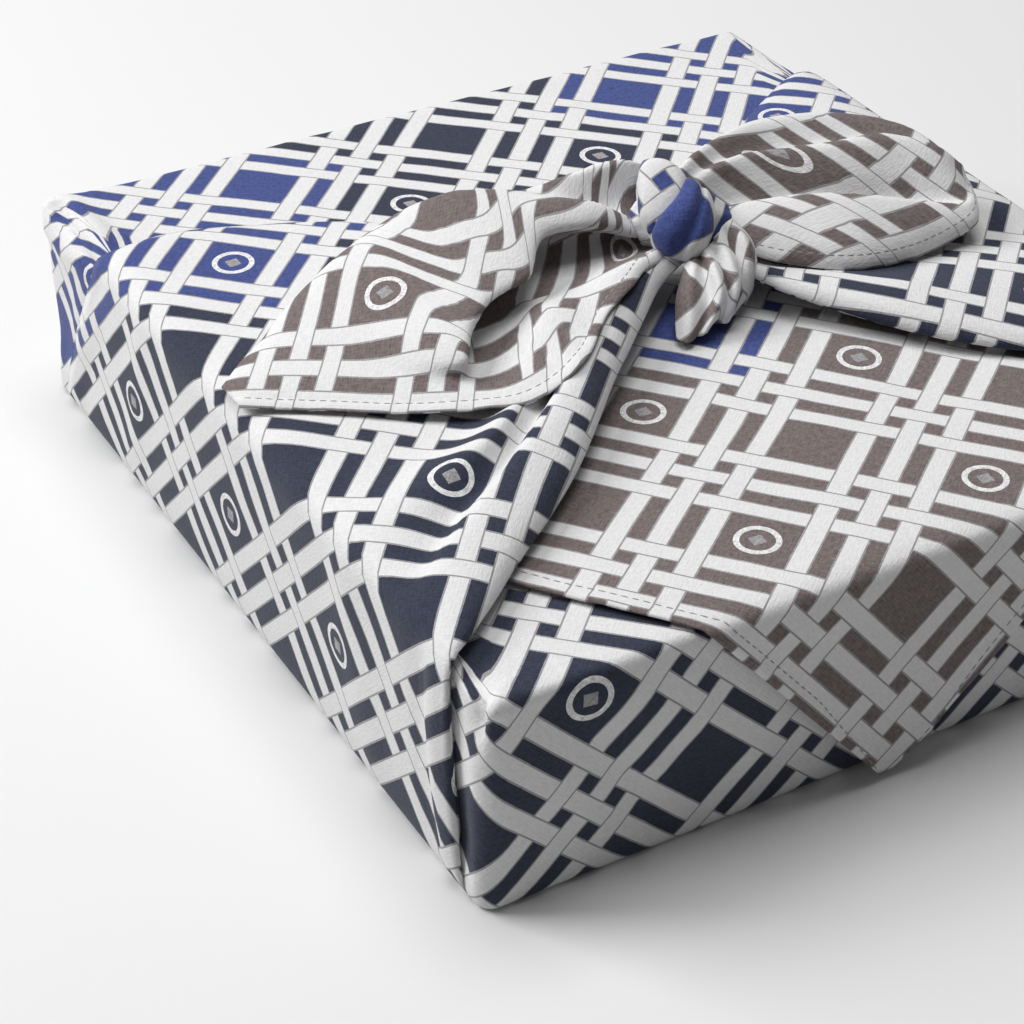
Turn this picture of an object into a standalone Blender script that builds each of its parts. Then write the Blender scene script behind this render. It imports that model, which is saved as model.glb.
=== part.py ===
"""Furoshiki wrap on a flat gift box: one square cloth folded, drawn together and tied in a square knot.

X runs along the short side of the box, Y along its long side and Z up. The origin is the middle of
the underside. Tables are in millimetres; every mesh is built in metres.
"""
import math

import bmesh
import bpy
from mathutils import Vector

MM = 0.001

# Driving dimensions of the wrapped parcel, outside the cloth.
PARCEL_WIDTH = 258.0
PARCEL_LENGTH = 280.0
PARCEL_HEIGHT = 66.0
CORNER_RADIUS = 5.0
BOTTOM_RADIUS = 2.4

# The cloth, and the clearances between its layers and round the box.
CLOTH = 1.0
TUCK_STEP = 2.0
TUCK_SLOPE = 1.4
TUCK_RISE = 20.0
LAYER_GAP = 0.8
BOX_CLEARANCE = 2.0
BOX_LIFT = 0.4
BOX_ROUNDING = 2.0

HALF_X = PARCEL_WIDTH / 2
HALF_Y = PARCEL_LENGTH / 2

# Heights of the upper face of each layer that lies on the box.
SECOND_FLAP_TOP = PARCEL_HEIGHT
FIRST_FLAP_TOP = SECOND_FLAP_TOP - CLOTH - LAYER_GAP
WALL_TOP = FIRST_FLAP_TOP - 3.0
BOX_TOP = FIRST_FLAP_TOP - CLOTH - BOX_CLEARANCE
BOX_WIDTH = PARCEL_WIDTH - 2 * (CLOTH + TUCK_STEP + BOX_CLEARANCE)
BOX_LENGTH = PARCEL_LENGTH - 2 * (CLOTH + BOX_CLEARANCE)

# Where the folded edges of the side pieces stand on the walls, as Y at the foot and at the top.
NEAR_FOLD = dict(foot=-131.5, top=-124.0)
FAR_FOLD = dict(foot=131.5, top=96.0)

# Columns of the grid on each side of the parcel.
FRONT_COLUMNS = 8
ARC_COLUMNS = 2
LEAST_RADIUS = 1.5
PIECE_STEPS = 2
END_STEPS = 2
PLEAT_STEPS = 2

# Height of a wall ring, and how far it is drawn in from the parcel's outline.
WALL_RINGS = (
    dict(height=0.0, inset=BOTTOM_RADIUS),
    dict(height=BOTTOM_RADIUS, inset=0.0),
    dict(height=22.0, inset=-0.5),
    dict(height=44.0, inset=-0.5),
    dict(height=WALL_TOP, inset=0.0),
)

# Rows of a flap as it turns over the top edge: height, inset, and how far its ends are drawn under.
FIRST_TURN = (
    dict(height=WALL_TOP, inset=0.0, drawn=0.0),
    dict(height=WALL_TOP + 2.1, inset=0.9, drawn=7.0),
    dict(height=FIRST_FLAP_TOP, inset=3.0, drawn=9.0),
)
SECOND_TURN = (
    dict(height=WALL_TOP, inset=0.0, drawn=0.0),
    dict(height=WALL_TOP + 2.6, inset=1.2, drawn=-7.0),
    dict(height=SECOND_FLAP_TOP - 0.2, inset=4.5, drawn=-9.0),
)

# Rows of the flaps on the box, as Y, and how far their sides keep inside the parcel.
FIRST_FLAP_ROWS = (-108.0, -60.0, 0.0, 60.0, 88.0, 116.0)
FIRST_FLAP_TAPER = 60.0
SECOND_FLAP_ROWS = (84.0, 45.0, 0.0, -45.0, -75.0, -100.0, -125.0, -138.0)
FLAP_INSIDE = 7.0
CORNER_SHARE = 0.15

# The hanging tip of the second flap: its two hems as X at the top edge, and X moved per millimetre.
HEM_LEFT = dict(at_edge=-69.0, on_top=-0.78, hanging=0.84)
HEM_RIGHT = dict(at_edge=70.0, on_top=1.22, hanging=-1.27)

# The flap beyond the front top edge, as (y, height) of its upper face at each row.
HANGING_ROWS = ((-141.4, 64.7), (-142.6, 61.4), (-143.0, 50.0), (-144.0, 38.0), (-145.4, 26.0),
                (-146.6, 14.0), (-147.0, 6.0), (-146.6, 2.6))

# Side pieces, a row for each section across the parcel. Every pair is (y, z).
LEFT_PIECE = (
    dict(x=-128.6, edge=(-123.6, 64.6), lip=(-121, 65.0), crest=(-112, 65.2), rim=(-101, 65.2),
         valley=(-93, 65.1), ridge=(-72, 65.3), dip=(-50, 65.1), swell=(-12, 65.3), flat=(35, 65.1),
         far_lip=(92, 65.0), far_edge=(95, 64.6)),
    dict(x=-126.8, edge=(-122.8, 67.3), lip=(-120, 68.0), crest=(-111, 68.3), rim=(-101, 68.3),
         valley=(-93, 68.0), ridge=(-71, 68.4), dip=(-50, 68.0), swell=(-12, 68.2), flat=(35, 68.0),
         far_lip=(92, 68.0), far_edge=(95, 67.0)),
    dict(x=-122, edge=(-120.5, 68.2), lip=(-118, 69.4), crest=(-109, 70.4), rim=(-99, 70.4),
         valley=(-92, 69.4), ridge=(-70, 70.3), dip=(-50, 69.4), swell=(-14, 69.8), flat=(35, 69.4),
         far_lip=(91.5, 69.8), far_edge=(95, 68.2)),
    dict(x=-100, edge=(-103, 69.0), lip=(-100, 71.4), crest=(-92, 73.6), rim=(-82, 74.2),
         valley=(-77, 70.6), ridge=(-65, 74.4), dip=(-50, 70.6), swell=(-20, 71.4), flat=(30, 70.2),
         far_lip=(90, 70.6), far_edge=(93.5, 69.4)),
    dict(x=-80, edge=(-88, 70.4), lip=(-85, 73.0), crest=(-78, 75.4), rim=(-69, 76.2),
         valley=(-64.5, 71.6), ridge=(-57, 76.6), dip=(-46, 71.8), swell=(-20, 73.0), flat=(25, 71.4),
         far_lip=(83, 70.4), far_edge=(86.5, 69.1)),
    dict(x=-60, edge=(-71, 72.0), lip=(-68, 74.8), crest=(-61, 77.4), rim=(-53, 78.0),
         valley=(-49, 73.0), ridge=(-42, 75.6), dip=(-34, 72.4), swell=(-14, 73.6), flat=(20, 72.6),
         far_lip=(74, 70.8), far_edge=(77.5, 69.0)),
    dict(x=-40, edge=(-51, 74.0), lip=(-48, 76.8), crest=(-43, 79.0), rim=(-36, 79.4),
         valley=(-33, 75.0), ridge=(-28, 76.2), dip=(-21, 73.8), swell=(-8, 74.6), flat=(16, 74.0),
         far_lip=(56, 72.6), far_edge=(59.5, 70.8)),
    dict(x=-20, edge=(-32, 75.6), lip=(-29, 78.4), crest=(-25, 80.4), rim=(-19.5, 80.8),
         valley=(-17, 77.6), ridge=(-13, 77.6), dip=(-9, 75.8), swell=(-2, 76.2), flat=(10, 76.0),
         far_lip=(33, 75.0), far_edge=(36.5, 73.6)),
    dict(x=0, edge=(-14, 77.6), lip=(-12, 80.2), crest=(-9, 81.4), rim=(-6, 81.2),
         valley=(-4, 79.6), ridge=(-1.5, 79.2), dip=(1.5, 77.8), swell=(5, 77.8), flat=(10, 77.8),
         far_lip=(18, 77.4), far_edge=(20.5, 76.4)),
    dict(x=13, edge=(-8, 79.6), lip=(-6, 80.2), crest=(-4, 80.5), rim=(-2, 80.5),
         valley=(0, 80.3), ridge=(2, 80.0), dip=(4, 79.7), swell=(6, 79.5), flat=(9, 79.2),
         far_lip=(12, 78.8), far_edge=(14, 78.4)),
)
RIGHT_PIECE = (
    dict(x=128.6, edge=(-123.6, 64.6), lip=(-121, 65.0), swell=(-90, 65.2), ridge=(-60, 65.3),
         dip=(-30, 65.1), crest=(0, 65.3), flat=(40, 65.1), far_lip=(92, 65.0), far_edge=(95, 64.6)),
    dict(x=126.8, edge=(-122.8, 67.3), lip=(-120, 68.0), swell=(-90, 68.2), ridge=(-60, 68.4),
         dip=(-30, 68.0), crest=(0, 68.3), flat=(40, 68.1), far_lip=(92, 68.0), far_edge=(95, 67.0)),
    dict(x=122, edge=(-120.5, 68.2), lip=(-117, 69.4), swell=(-88, 69.8), ridge=(-58, 70.2),
         dip=(-30, 69.5), crest=(-2, 70.2), flat=(38, 69.6), far_lip=(91, 69.8), far_edge=(94.4, 68.2)),
    dict(x=100, edge=(-103, 69.6), lip=(-99.5, 71.0), swell=(-75, 72.4), ridge=(-50, 72.2),
         dip=(-28, 70.6), crest=(-4, 71.4), flat=(32, 70.8), far_lip=(78, 70.6), far_edge=(81.5, 69.4)),
    dict(x=80, edge=(-87, 69.6), lip=(-83, 71.8), swell=(-62, 74.4), ridge=(-42, 73.2),
         dip=(-24, 71.0), crest=(-4, 72.0), flat=(26, 71.4), far_lip=(64, 70.5), far_edge=(67.5, 69.1)),
    dict(x=60, edge=(-71, 70.6), lip=(-67, 73.6), swell=(-50, 76.6), ridge=(-33, 74.0),
         dip=(-19, 71.8), crest=(-3, 73.2), flat=(20, 72.6), far_lip=(49, 71.4), far_edge=(52.5, 69.8)),
    dict(x=44, edge=(-52, 72.6), lip=(-49, 75.6), swell=(-37, 77.4), ridge=(-23, 74.8),
         dip=(-13, 73.4), crest=(-1, 74.8), flat=(15, 74.2), far_lip=(35, 73.2), far_edge=(38, 71.8)),
    dict(x=30, edge=(-32, 75.4), lip=(-29, 77.6), swell=(-21, 77.8), ridge=(-13, 76.8),
         dip=(-6, 76.4), crest=(2, 77.2), flat=(11, 77.0), far_lip=(21, 76.4), far_edge=(23.5, 75.0)),
    dict(x=18, edge=(-8, 79.2), lip=(-6, 79.7), swell=(-3.5, 80.0), ridge=(-1, 79.8),
         dip=(2, 79.6), crest=(5, 79.6), flat=(8, 79.4), far_lip=(11, 79.0), far_edge=(13.5, 78.4)),
)

# How far the folded edges of a side piece run back underneath it. Reach and lip are at most the given
# shares of the piece's breadth, and drop is how far they lie below it.
UNDER_FOLD = dict(first_row=3, rows_left=3, lip=3.5, lip_share=0.1, reach=20.0, reach_share=0.3,
                  height=SECOND_FLAP_TOP + LAYER_GAP, drop=2.0)

# The two ends of the cloth beyond the knot, a row for each section. Every pair is (y, z).
LEFT_END = (
    dict(x=-127, hem=(-6, 71.6), lobe=(-4.8, 71.8), floor=(-3.6, 72.0), hollow=(-2.4, 72.1), tuck=(-1.2, 72.2),
         rim=(0, 72.2), face=(1.2, 72.2), crest=(2.4, 72.2), dip=(3.6, 72.1), back=(4.8, 71.9), under=(6, 71.7)),
    dict(x=-112, hem=(-17, 72.2), lobe=(-13, 73.0), floor=(-9.5, 73.6), hollow=(-6, 74.1), tuck=(-2, 74.5),
         rim=(2, 74.7), face=(7, 74.8), crest=(12, 74.5), dip=(15, 73.8), back=(17, 73.0), under=(19, 71.6)),
    dict(x=-92, hem=(-33, 73.6), lobe=(-28, 74.6), floor=(-23, 75.6), hollow=(-18, 76.4), tuck=(-12, 77.2),
         rim=(-5, 78.2), face=(10, 80.2), crest=(26, 80.0), dip=(29.5, 78.4), back=(31.5, 76.0), under=(31, 72.4)),
    dict(x=-80, hem=(-40.5, 74.6), lobe=(-36, 75.4), floor=(-32, 76.2), hollow=(-28.5, 76.8), tuck=(-26, 78.0),
         rim=(-22.5, 80.4), face=(9, 84.0), crest=(31, 84.4), dip=(34.5, 82.0), back=(36, 78.6), under=(35, 73.0)),
    dict(x=-72, hem=(-44.5, 75.0), lobe=(-40.5, 75.8), floor=(-36.5, 76.2), hollow=(-33, 76.2), tuck=(-29.5, 77.2),
         rim=(-29.5, 82.0), face=(6, 86.4), crest=(33, 87.0), dip=(37, 84.0), back=(38.4, 80.0), under=(37, 74.0)),
    dict(x=-64, hem=(-47.6, 75.8), lobe=(-40, 77.0), floor=(-32, 76.6), hollow=(-22, 76.0), tuck=(-11, 77.4),
         rim=(-20, 84.4), face=(6, 88.6), crest=(34.5, 89.8), dip=(38.4, 86.6), back=(39.4, 81.6), under=(37.6, 75.0)),
    dict(x=-56, hem=(-48, 77.4), lobe=(-39, 79.0), floor=(-28, 78.2), hollow=(-12, 76.4), tuck=(3, 78.8),
         rim=(-14, 86.6), face=(7, 90.6), crest=(35, 92.2), dip=(38.8, 89.0), back=(39.8, 83.0), under=(37.6, 75.6)),
    dict(x=-48, hem=(-46.2, 80.4), lobe=(-36, 80.6), floor=(-22, 80.6), hollow=(-8, 76.8), tuck=(8, 79.6),
         rim=(-10.5, 86.8), face=(7.6, 91.8), crest=(34, 94.0), dip=(37.6, 91.0), back=(38.8, 84.8), under=(36.8, 76.2)),
    dict(x=-40, hem=(-41, 81.0), lobe=(-31, 81.8), floor=(-17, 82.6), hollow=(-4, 77.2), tuck=(13, 80.6),
         rim=(-8, 86.8), face=(8, 92.6), crest=(32.5, 95.4), dip=(36, 92.4), back=(37.2, 86.0), under=(35.5, 76.8)),
    dict(x=-27, hem=(-28.2, 82.0), lobe=(-22, 82.2), floor=(-14, 82.0), hollow=(-4, 77.6), tuck=(16, 81.2),
         rim=(7, 89.8), face=(14, 93.8), crest=(29.5, 95.8), dip=(33, 93.0), back=(34, 87.0), under=(32, 78.2)),
    dict(x=-14, hem=(-20, 82.6), lobe=(-17, 83.8), floor=(-12.5, 84.2), hollow=(-3, 78.6), tuck=(14, 82.2),
         rim=(7, 91.0), face=(12.6, 94.2), crest=(23, 95.0), dip=(25.6, 92.8), back=(27.4, 89.4), under=(26, 80.4)),
    dict(x=-6, hem=(-13.4, 82.2), lobe=(-11.6, 83.4), floor=(-9, 83.8), hollow=(-1, 79.2), tuck=(11, 82.2),
         rim=(6, 89.4), face=(9.6, 92.2), crest=(17.5, 93.2), dip=(21, 92.6), back=(26, 94.4), under=(25, 82.0)),
    dict(x=0, hem=(-10.5, 81.6), lobe=(-9, 82.8), floor=(-6.5, 83.0), hollow=(-0.5, 79.6), tuck=(8, 81.4),
         rim=(4.4, 85.4), face=(7, 88.2), crest=(12.5, 89.4), dip=(16.5, 90.6), back=(22, 98.4), under=(22, 82.0)),
    dict(x=6, hem=(-6.6, 80.6), lobe=(-5.4, 81.2), floor=(-4, 81.4), hollow=(0, 80.2), tuck=(4, 80.8),
         rim=(2.8, 82.4), face=(4.4, 84.0), crest=(8.4, 85.0), dip=(12, 86.8), back=(18, 100.0), under=(19, 84.0)),
    dict(x=13, hem=(-4, 80.4), lobe=(-3, 80.8), floor=(-1.8, 81.2), hollow=(-0.4, 81.6), tuck=(1, 82.2),
         rim=(2.4, 83.0), face=(4, 84.0), crest=(6.2, 85.2), dip=(9, 87.4), back=(13, 98.0), under=(15, 86.0)),
)
RIGHT_END = (
    dict(x=106, hem=(-18, 80.6), front=(-17, 81.4), fold=(-15.8, 82.4), dip=(-14.6, 83.6), middle=(-13.4, 85.0),
         crest=(-12.2, 86.2), hollow=(-11, 86.4), top=(-9.8, 86.0), back=(-8.6, 84.6), under=(-7.4, 82.6)),
    dict(x=99, hem=(-29.5, 77.2), front=(-28.5, 79.4), fold=(-26, 81.8), dip=(-23, 82.0), middle=(-17, 86.6),
         crest=(-9, 92.4), hollow=(-4.5, 91.2), top=(2.5, 92.6), back=(7.5, 87.0), under=(8, 79.6)),
    dict(x=86, hem=(-31.5, 74.0), front=(-30, 79.2), fold=(-20.5, 83.8), dip=(-17.4, 80.6), middle=(-9.5, 88.4),
         crest=(1, 95.6), hollow=(5.5, 91.6), top=(16, 95.2), back=(22.5, 87.4), under=(22, 77.0)),
    dict(x=70, hem=(-33, 73.6), front=(-31, 79.0), fold=(-14.5, 87.2), dip=(-11.4, 82.2), middle=(-4.5, 89.0),
         crest=(5, 95.2), hollow=(9.5, 91.6), top=(22, 96.8), back=(29.5, 87.4), under=(28.6, 76.8)),
    dict(x=54, hem=(-32, 75.0), front=(-29.5, 80.0), fold=(-8, 88.8), dip=(-5, 83.8), middle=(0.5, 89.8),
         crest=(8.5, 95.6), hollow=(12.6, 92.0), top=(23, 97.6), back=(30, 88.4), under=(29, 77.4)),
    dict(x=42, hem=(-27, 76.6), front=(-24, 81.0), fold=(-4, 88.4), dip=(-1, 84.6), middle=(3.8, 90.6),
         crest=(9.4, 96.6), hollow=(12.6, 93.8), top=(19.4, 98.6), back=(25, 90.0), under=(24, 79.4)),
    dict(x=30, hem=(-20, 79.4), front=(-16.5, 83.0), fold=(-1, 87.6), dip=(2, 85.6), middle=(5.6, 89.4),
         crest=(8.8, 95.0), hollow=(11, 94.2), top=(15, 98.4), back=(18, 92.0), under=(17, 82.4)),
    dict(x=22, hem=(-10, 82.4), front=(-7, 84.0), fold=(0, 86.0), dip=(2.2, 85.6), middle=(4.6, 87.6),
         crest=(7, 91.4), hollow=(9, 92.6), top=(12, 96.0), back=(14.4, 92.0), under=(14, 85.0)),
    dict(x=14, hem=(-5, 83.4), front=(-3.2, 84.2), fold=(-1.2, 85.2), dip=(0.6, 86.2), middle=(2.4, 87.4),
         crest=(4.2, 88.8), hollow=(6, 90.0), top=(7.8, 91.0), back=(9.6, 90.6), under=(11.4, 88.4)),
)

# The knot is laid out as (across, up, out) from a middle point, facing between the front and the left.
KNOT = dict(middle=(10.0, 0.0, 88.0), azimuth=60.3, fall=35.2)

# The pleats that hang below the knot, a row for each section from the knot to their open end.
SWAG = (
    dict(left=(5.5, -9, 1), lobe=(7.5, -9.5, 3), cleft=(8.5, -9.5, 2), ridge=(10, -9, 4), groove=(11.5, -8, 3),
         fold=(13.5, -6, 4), hollow=(15, -3, 2), swell=(17, -1, 2), right=(18.5, 0, -2)),
    dict(left=(4, -16, 5), lobe=(6.4, -17, 10), cleft=(9.8, -16, 7), ridge=(12.5, -15, 11), groove=(14.6, -15, 7.5),
         fold=(16.8, -13, 9.5), hollow=(18.6, -11, 6), swell=(21, -6.5, 7), right=(23.5, -6, 0)),
    dict(left=(2, -23, 9), lobe=(5.5, -25, 14), cleft=(10.8, -23.5, 11), ridge=(13.8, -22, 14.5),
         groove=(16, -21, 10.5), fold=(18.6, -20.5, 12), hollow=(20, -17.5, 7.5), swell=(22.8, -13, 8),
         right=(25, -12.5, 0)),
    dict(left=(1.5, -30, 12.5), lobe=(5, -32, 16.5), cleft=(9.8, -29, 13), ridge=(12, -28.5, 15.5),
         groove=(15, -27.5, 10.5), fold=(17.2, -26.5, 11.5), hollow=(19, -24, 6.5), swell=(21.6, -21.5, 5.5),
         right=(24.2, -19, -1)),
    dict(left=(1.6, -35, 15.2), lobe=(4.2, -36.6, 17.5), cleft=(7.4, -34.2, 14.8), ridge=(9.4, -33.6, 15.4),
         groove=(11.4, -30.4, 9.5), fold=(15.6, -30.2, 10), hollow=(17.4, -28, 6.5), swell=(20.2, -24.6, 2),
         right=(21.8, -24, -2)),
)

# Rolls of the knot: the line of each roll with its half width across and its half thickness.
KNOT_ROLLS = dict(
    over=(dict(at=(10, 9, -9), wide=4, thick=4), dict(at=(9, 8, -3), wide=5, thick=5),
          dict(at=(7.4, 2.4, 3.4), wide=7, thick=6), dict(at=(4, -4.6, 5), wide=8.4, thick=6),
          dict(at=(3, -8.4, 2.6), wide=6.6, thick=5), dict(at=(3, -9.6, -3), wide=4, thick=3)),
    beside=(dict(at=(-1, 10, -11), wide=5, thick=4), dict(at=(-1, 10.6, -4), wide=7, thick=5),
            dict(at=(-2, 7, 0.6), wide=7, thick=5.6), dict(at=(-3.4, 1, 1), wide=5.2, thick=5),
            dict(at=(-3.6, -3, -1), wide=3.4, thick=4)),
    core=(dict(at=(-9, -2, -4), wide=5, thick=4), dict(at=(-3, 0, -3), wide=9, thick=6),
          dict(at=(4, 0, -2), wide=12, thick=8), dict(at=(12, -1, -4), wide=10, thick=7),
          dict(at=(20, -3, -6), wide=5, thick=4)),
)
ROLL_SIDES = 14
ROLL_STEPS = 12

# Tolerances in millimetres: for welding grids, and for finding the parcel's open foot.
WELD = 0.02
FOOT = 0.5


def spline(points, where):
    """A point on the smooth curve through a list of equal tuples; where runs from 0 to the last."""
    last = len(points) - 1
    start = min(max(int(math.floor(where)), 0), last - 1)
    part = where - start
    here = Vector(points[start])
    after = Vector(points[start + 1])
    step = max(math.sqrt((after - here).length), 0.001)
    straight = (after - here) / step
    slope_in = straight
    slope_out = straight
    if start > 0:
        before = Vector(points[start - 1])
        gap = max(math.sqrt((here - before).length), 0.001)
        slope_in = (here - before) / gap - (after - before) / (gap + step) + straight
    if start + 2 <= last:
        beyond = Vector(points[start + 2])
        gap = max(math.sqrt((beyond - after).length), 0.001)
        slope_out = straight - (beyond - here) / (step + gap) + (beyond - after) / gap
    slope_in = slope_in * step
    slope_out = slope_out * step
    rise = after - here
    return tuple(here + part * (slope_in + part * (3 * rise - 2 * slope_in - slope_out
                                                   + part * (slope_in + slope_out - 2 * rise))))


def sections(table):
    """The rows of a table of (y, z) pairs as lists of (x, y, z) points."""
    return [[(row["x"],) + tuple(pair) for name, pair in row.items() if name != "x"] for row in table]


def smooth_rows(rows, row_steps, column_steps):
    """Resample rows of points along smooth curves, with the given steps between table entries."""
    across = []
    for row in rows:
        count = (len(row) - 1) * column_steps
        across.append([spline(row, index / column_steps) for index in range(count + 1)])
    columns = [list(column) for column in zip(*across)]
    count = (len(rows) - 1) * row_steps
    return [[spline(column, index / row_steps) for column in columns] for index in range(count + 1)]


def add_grid(mesh, rows):
    """Lay a grid of faces through rows of points in millimetres."""
    made = bmesh.ops.create_grid(mesh, x_segments=len(rows[0]) - 1, y_segments=len(rows) - 1, size=0.5)
    for vert in made["verts"]:
        column = round((vert.co.x + 0.5) * (len(rows[0]) - 1))
        row = round((vert.co.y + 0.5) * (len(rows) - 1))
        vert.co = Vector(rows[row][column]) * MM


def fold_line(fold, height):
    """Where a side piece's folded edge stands at a height, as Y on the wall."""
    part = min(max(height / WALL_TOP, 0.0), 1.0)
    return fold["foot"] + part * (fold["top"] - fold["foot"])


def end_outline(fold_y, height, inset):
    """The front of the parcel's plan from left to right, tucked round both corners to the folds."""
    end_x = HALF_X - TUCK_STEP * min(height / TUCK_RISE, 1.0) - inset
    end_y = HALF_Y - inset
    radius = max(CORNER_RADIUS - inset, LEAST_RADIUS)
    start_y = end_y - radius
    corner = [(end_x, fold_y + TUCK_SLOPE)]
    for index in range(ARC_COLUMNS + 1):
        turn = math.pi / 2 * index / ARC_COLUMNS
        corner.append((end_x - radius + radius * math.cos(turn), start_y + radius * math.sin(turn)))
    flat_x = end_x - radius
    flat = [(-flat_x + 2 * flat_x * index / FRONT_COLUMNS, -end_y) for index in range(1, FRONT_COLUMNS)]
    return [(-x, -y) for x, y in corner] + flat + [(x, -y) for x, y in reversed(corner)]


def front_outline(height, inset):
    """Plan of the front wall and its tucked corners at a height."""
    return end_outline(-fold_line(NEAR_FOLD, height), height, inset)


def back_outline(height, inset):
    """Plan of the back wall and its tucked corners at a height, from right to left."""
    return [(-x, -y) for x, y in end_outline(fold_line(FAR_FOLD, height), height, inset)]


def panel_outline(piece, height, inset):
    """Plan of a side piece on its wall, its columns spread as they are at the top edge."""
    first = piece[0]
    side = math.copysign(1.0, first[0][0])
    near = fold_line(NEAR_FOLD, height)
    far = fold_line(FAR_FOLD, height)
    span = first[-1][1] - first[0][1]
    shares = [(point[1] - first[0][1]) / span for point in first]
    points = [(side * (HALF_X - inset), near + (far - near) * share) for share in shares]
    return points if side > 0 else points[::-1]


def raised(points, height):
    """Plan points lifted to a height."""
    return [(x, y, height) for x, y in points]


def ring_row(left, right, height, inset):
    """One closed ring of the walls, from the front left fold round to where it began."""
    points = front_outline(height, inset) + panel_outline(right, height, inset)
    points += back_outline(height, inset) + panel_outline(left, height, inset)
    return raised(points + points[:1], height)


def flap_shares():
    """Shares of a flap's width at its columns, drawn close together at the corners."""
    corner = [CORNER_SHARE] * (ARC_COLUMNS + 1)
    steps = corner + [1.0] * FRONT_COLUMNS + corner
    total = sum(steps)
    return [sum(steps[:index]) / total for index in range(len(steps) + 1)]


def flap_row(left_x, right_x, y, height):
    """A straight row of a flap across the box."""
    return [(left_x + (right_x - left_x) * share, y, height) for share in flap_shares()]


def tucked(row, reach):
    """A row of a flap whose two ends reach further round, under the folded edges of the side pieces."""
    return [(row[0][0], row[0][1] + reach, row[0][2])] + row[1:-1] + [
        (row[-1][0], row[-1][1] + reach, row[-1][2])]


def turned_rows(outline, rows):
    """Rows of a flap as it turns over the top edge of its wall."""
    return [tucked(raised(outline(WALL_TOP, row["inset"]), row["height"]), row["drawn"]) for row in rows]


def first_flap_rows():
    """The first flap, from the top of the front wall over the box to its blunt hidden end."""
    rows = turned_rows(front_outline, FIRST_TURN)
    for y in FIRST_FLAP_ROWS:
        half = HALF_X - FLAP_INSIDE - max(y - FIRST_FLAP_TAPER, 0.0)
        rows.append(flap_row(-half, half, y, FIRST_FLAP_TOP))
    return rows


def hem_x(hem, y, drop):
    """X of a hem of the second flap at a place on the top, or hanging by a drop below the edge."""
    return hem["at_edge"] + hem["on_top"] * (y + HALF_Y) * (drop == 0) + hem["hanging"] * drop


def second_flap_rows():
    """The second flap, from the top of the back wall over the box and down to its hanging corner."""
    rows = turned_rows(back_outline, SECOND_TURN)
    limit = HALF_X - FLAP_INSIDE
    for y in SECOND_FLAP_ROWS:
        left_x = max(hem_x(HEM_LEFT, y, 0.0), -limit)
        right_x = min(hem_x(HEM_RIGHT, y, 0.0), limit)
        rows.append(flap_row(right_x, left_x, y, SECOND_FLAP_TOP))
    for y, height in HANGING_ROWS:
        drop = PARCEL_HEIGHT - height
        rows.append(flap_row(hem_x(HEM_RIGHT, y, drop), hem_x(HEM_LEFT, y, drop), y, height))
    return rows


def side_piece_rows(piece):
    """A side piece from the top of its wall to the knot, in the ring's order."""
    side = math.copysign(1.0, piece[0][0][0])
    rows = [raised(panel_outline(piece, WALL_TOP, 0.0), WALL_TOP)]
    rows += [row if side > 0 else row[::-1] for row in piece]
    return rows


def under_fold_rows(piece, edge, inward):
    """The cloth that runs back under a folded edge; edge is a column, inward its direction in Y."""
    rows = []
    for index, row in enumerate(piece):
        if not UNDER_FOLD["first_row"] <= index <= len(piece) - UNDER_FOLD["rows_left"]:
            continue
        x, y, z = row[edge]
        under = max(UNDER_FOLD["height"], z - UNDER_FOLD["drop"])
        span = abs(piece[index][0][1] - piece[index][-1][1])
        reach = min(UNDER_FOLD["reach"], span * UNDER_FOLD["reach_share"])
        lip = min(UNDER_FOLD["lip"], span * UNDER_FOLD["lip_share"])
        rows.append([(x, y, z), (x, y + inward * lip, under), (x, y + inward * reach, under)])
    return rows


def cloth_object(name, grids, offset):
    """A sheet through one or more welded grids, thickened to the cloth."""
    mesh = bmesh.new()
    for rows in grids:
        add_grid(mesh, rows)
    bmesh.ops.remove_doubles(mesh, verts=mesh.verts, dist=WELD * MM)
    bmesh.ops.dissolve_degenerate(mesh, dist=WELD / 2 * MM, edges=mesh.edges)
    bmesh.ops.recalc_face_normals(mesh, faces=mesh.faces)
    data = bpy.data.meshes.new(name)
    mesh.to_mesh(data)
    mesh.free()
    data.shade_smooth()
    piece = bpy.data.objects.new(name, data)
    bpy.context.scene.collection.objects.link(piece)
    solid = piece.modifiers.new("thickness", "SOLIDIFY")
    solid.thickness = CLOTH * MM
    solid.offset = offset
    return piece


def facing(point):
    """A point of the knot, given as (across, up, out) from its middle, in the parcel's frame."""
    turn, fall = math.radians(KNOT["azimuth"]), math.radians(KNOT["fall"])
    across = Vector((math.sin(turn), -math.cos(turn), 0.0))
    out = Vector((-math.cos(turn) * math.cos(fall), -math.sin(turn) * math.cos(fall), math.sin(fall)))
    up = out.cross(across)
    return Vector(KNOT["middle"]) + across * point[0] + up * point[1] + out * point[2]


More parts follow.
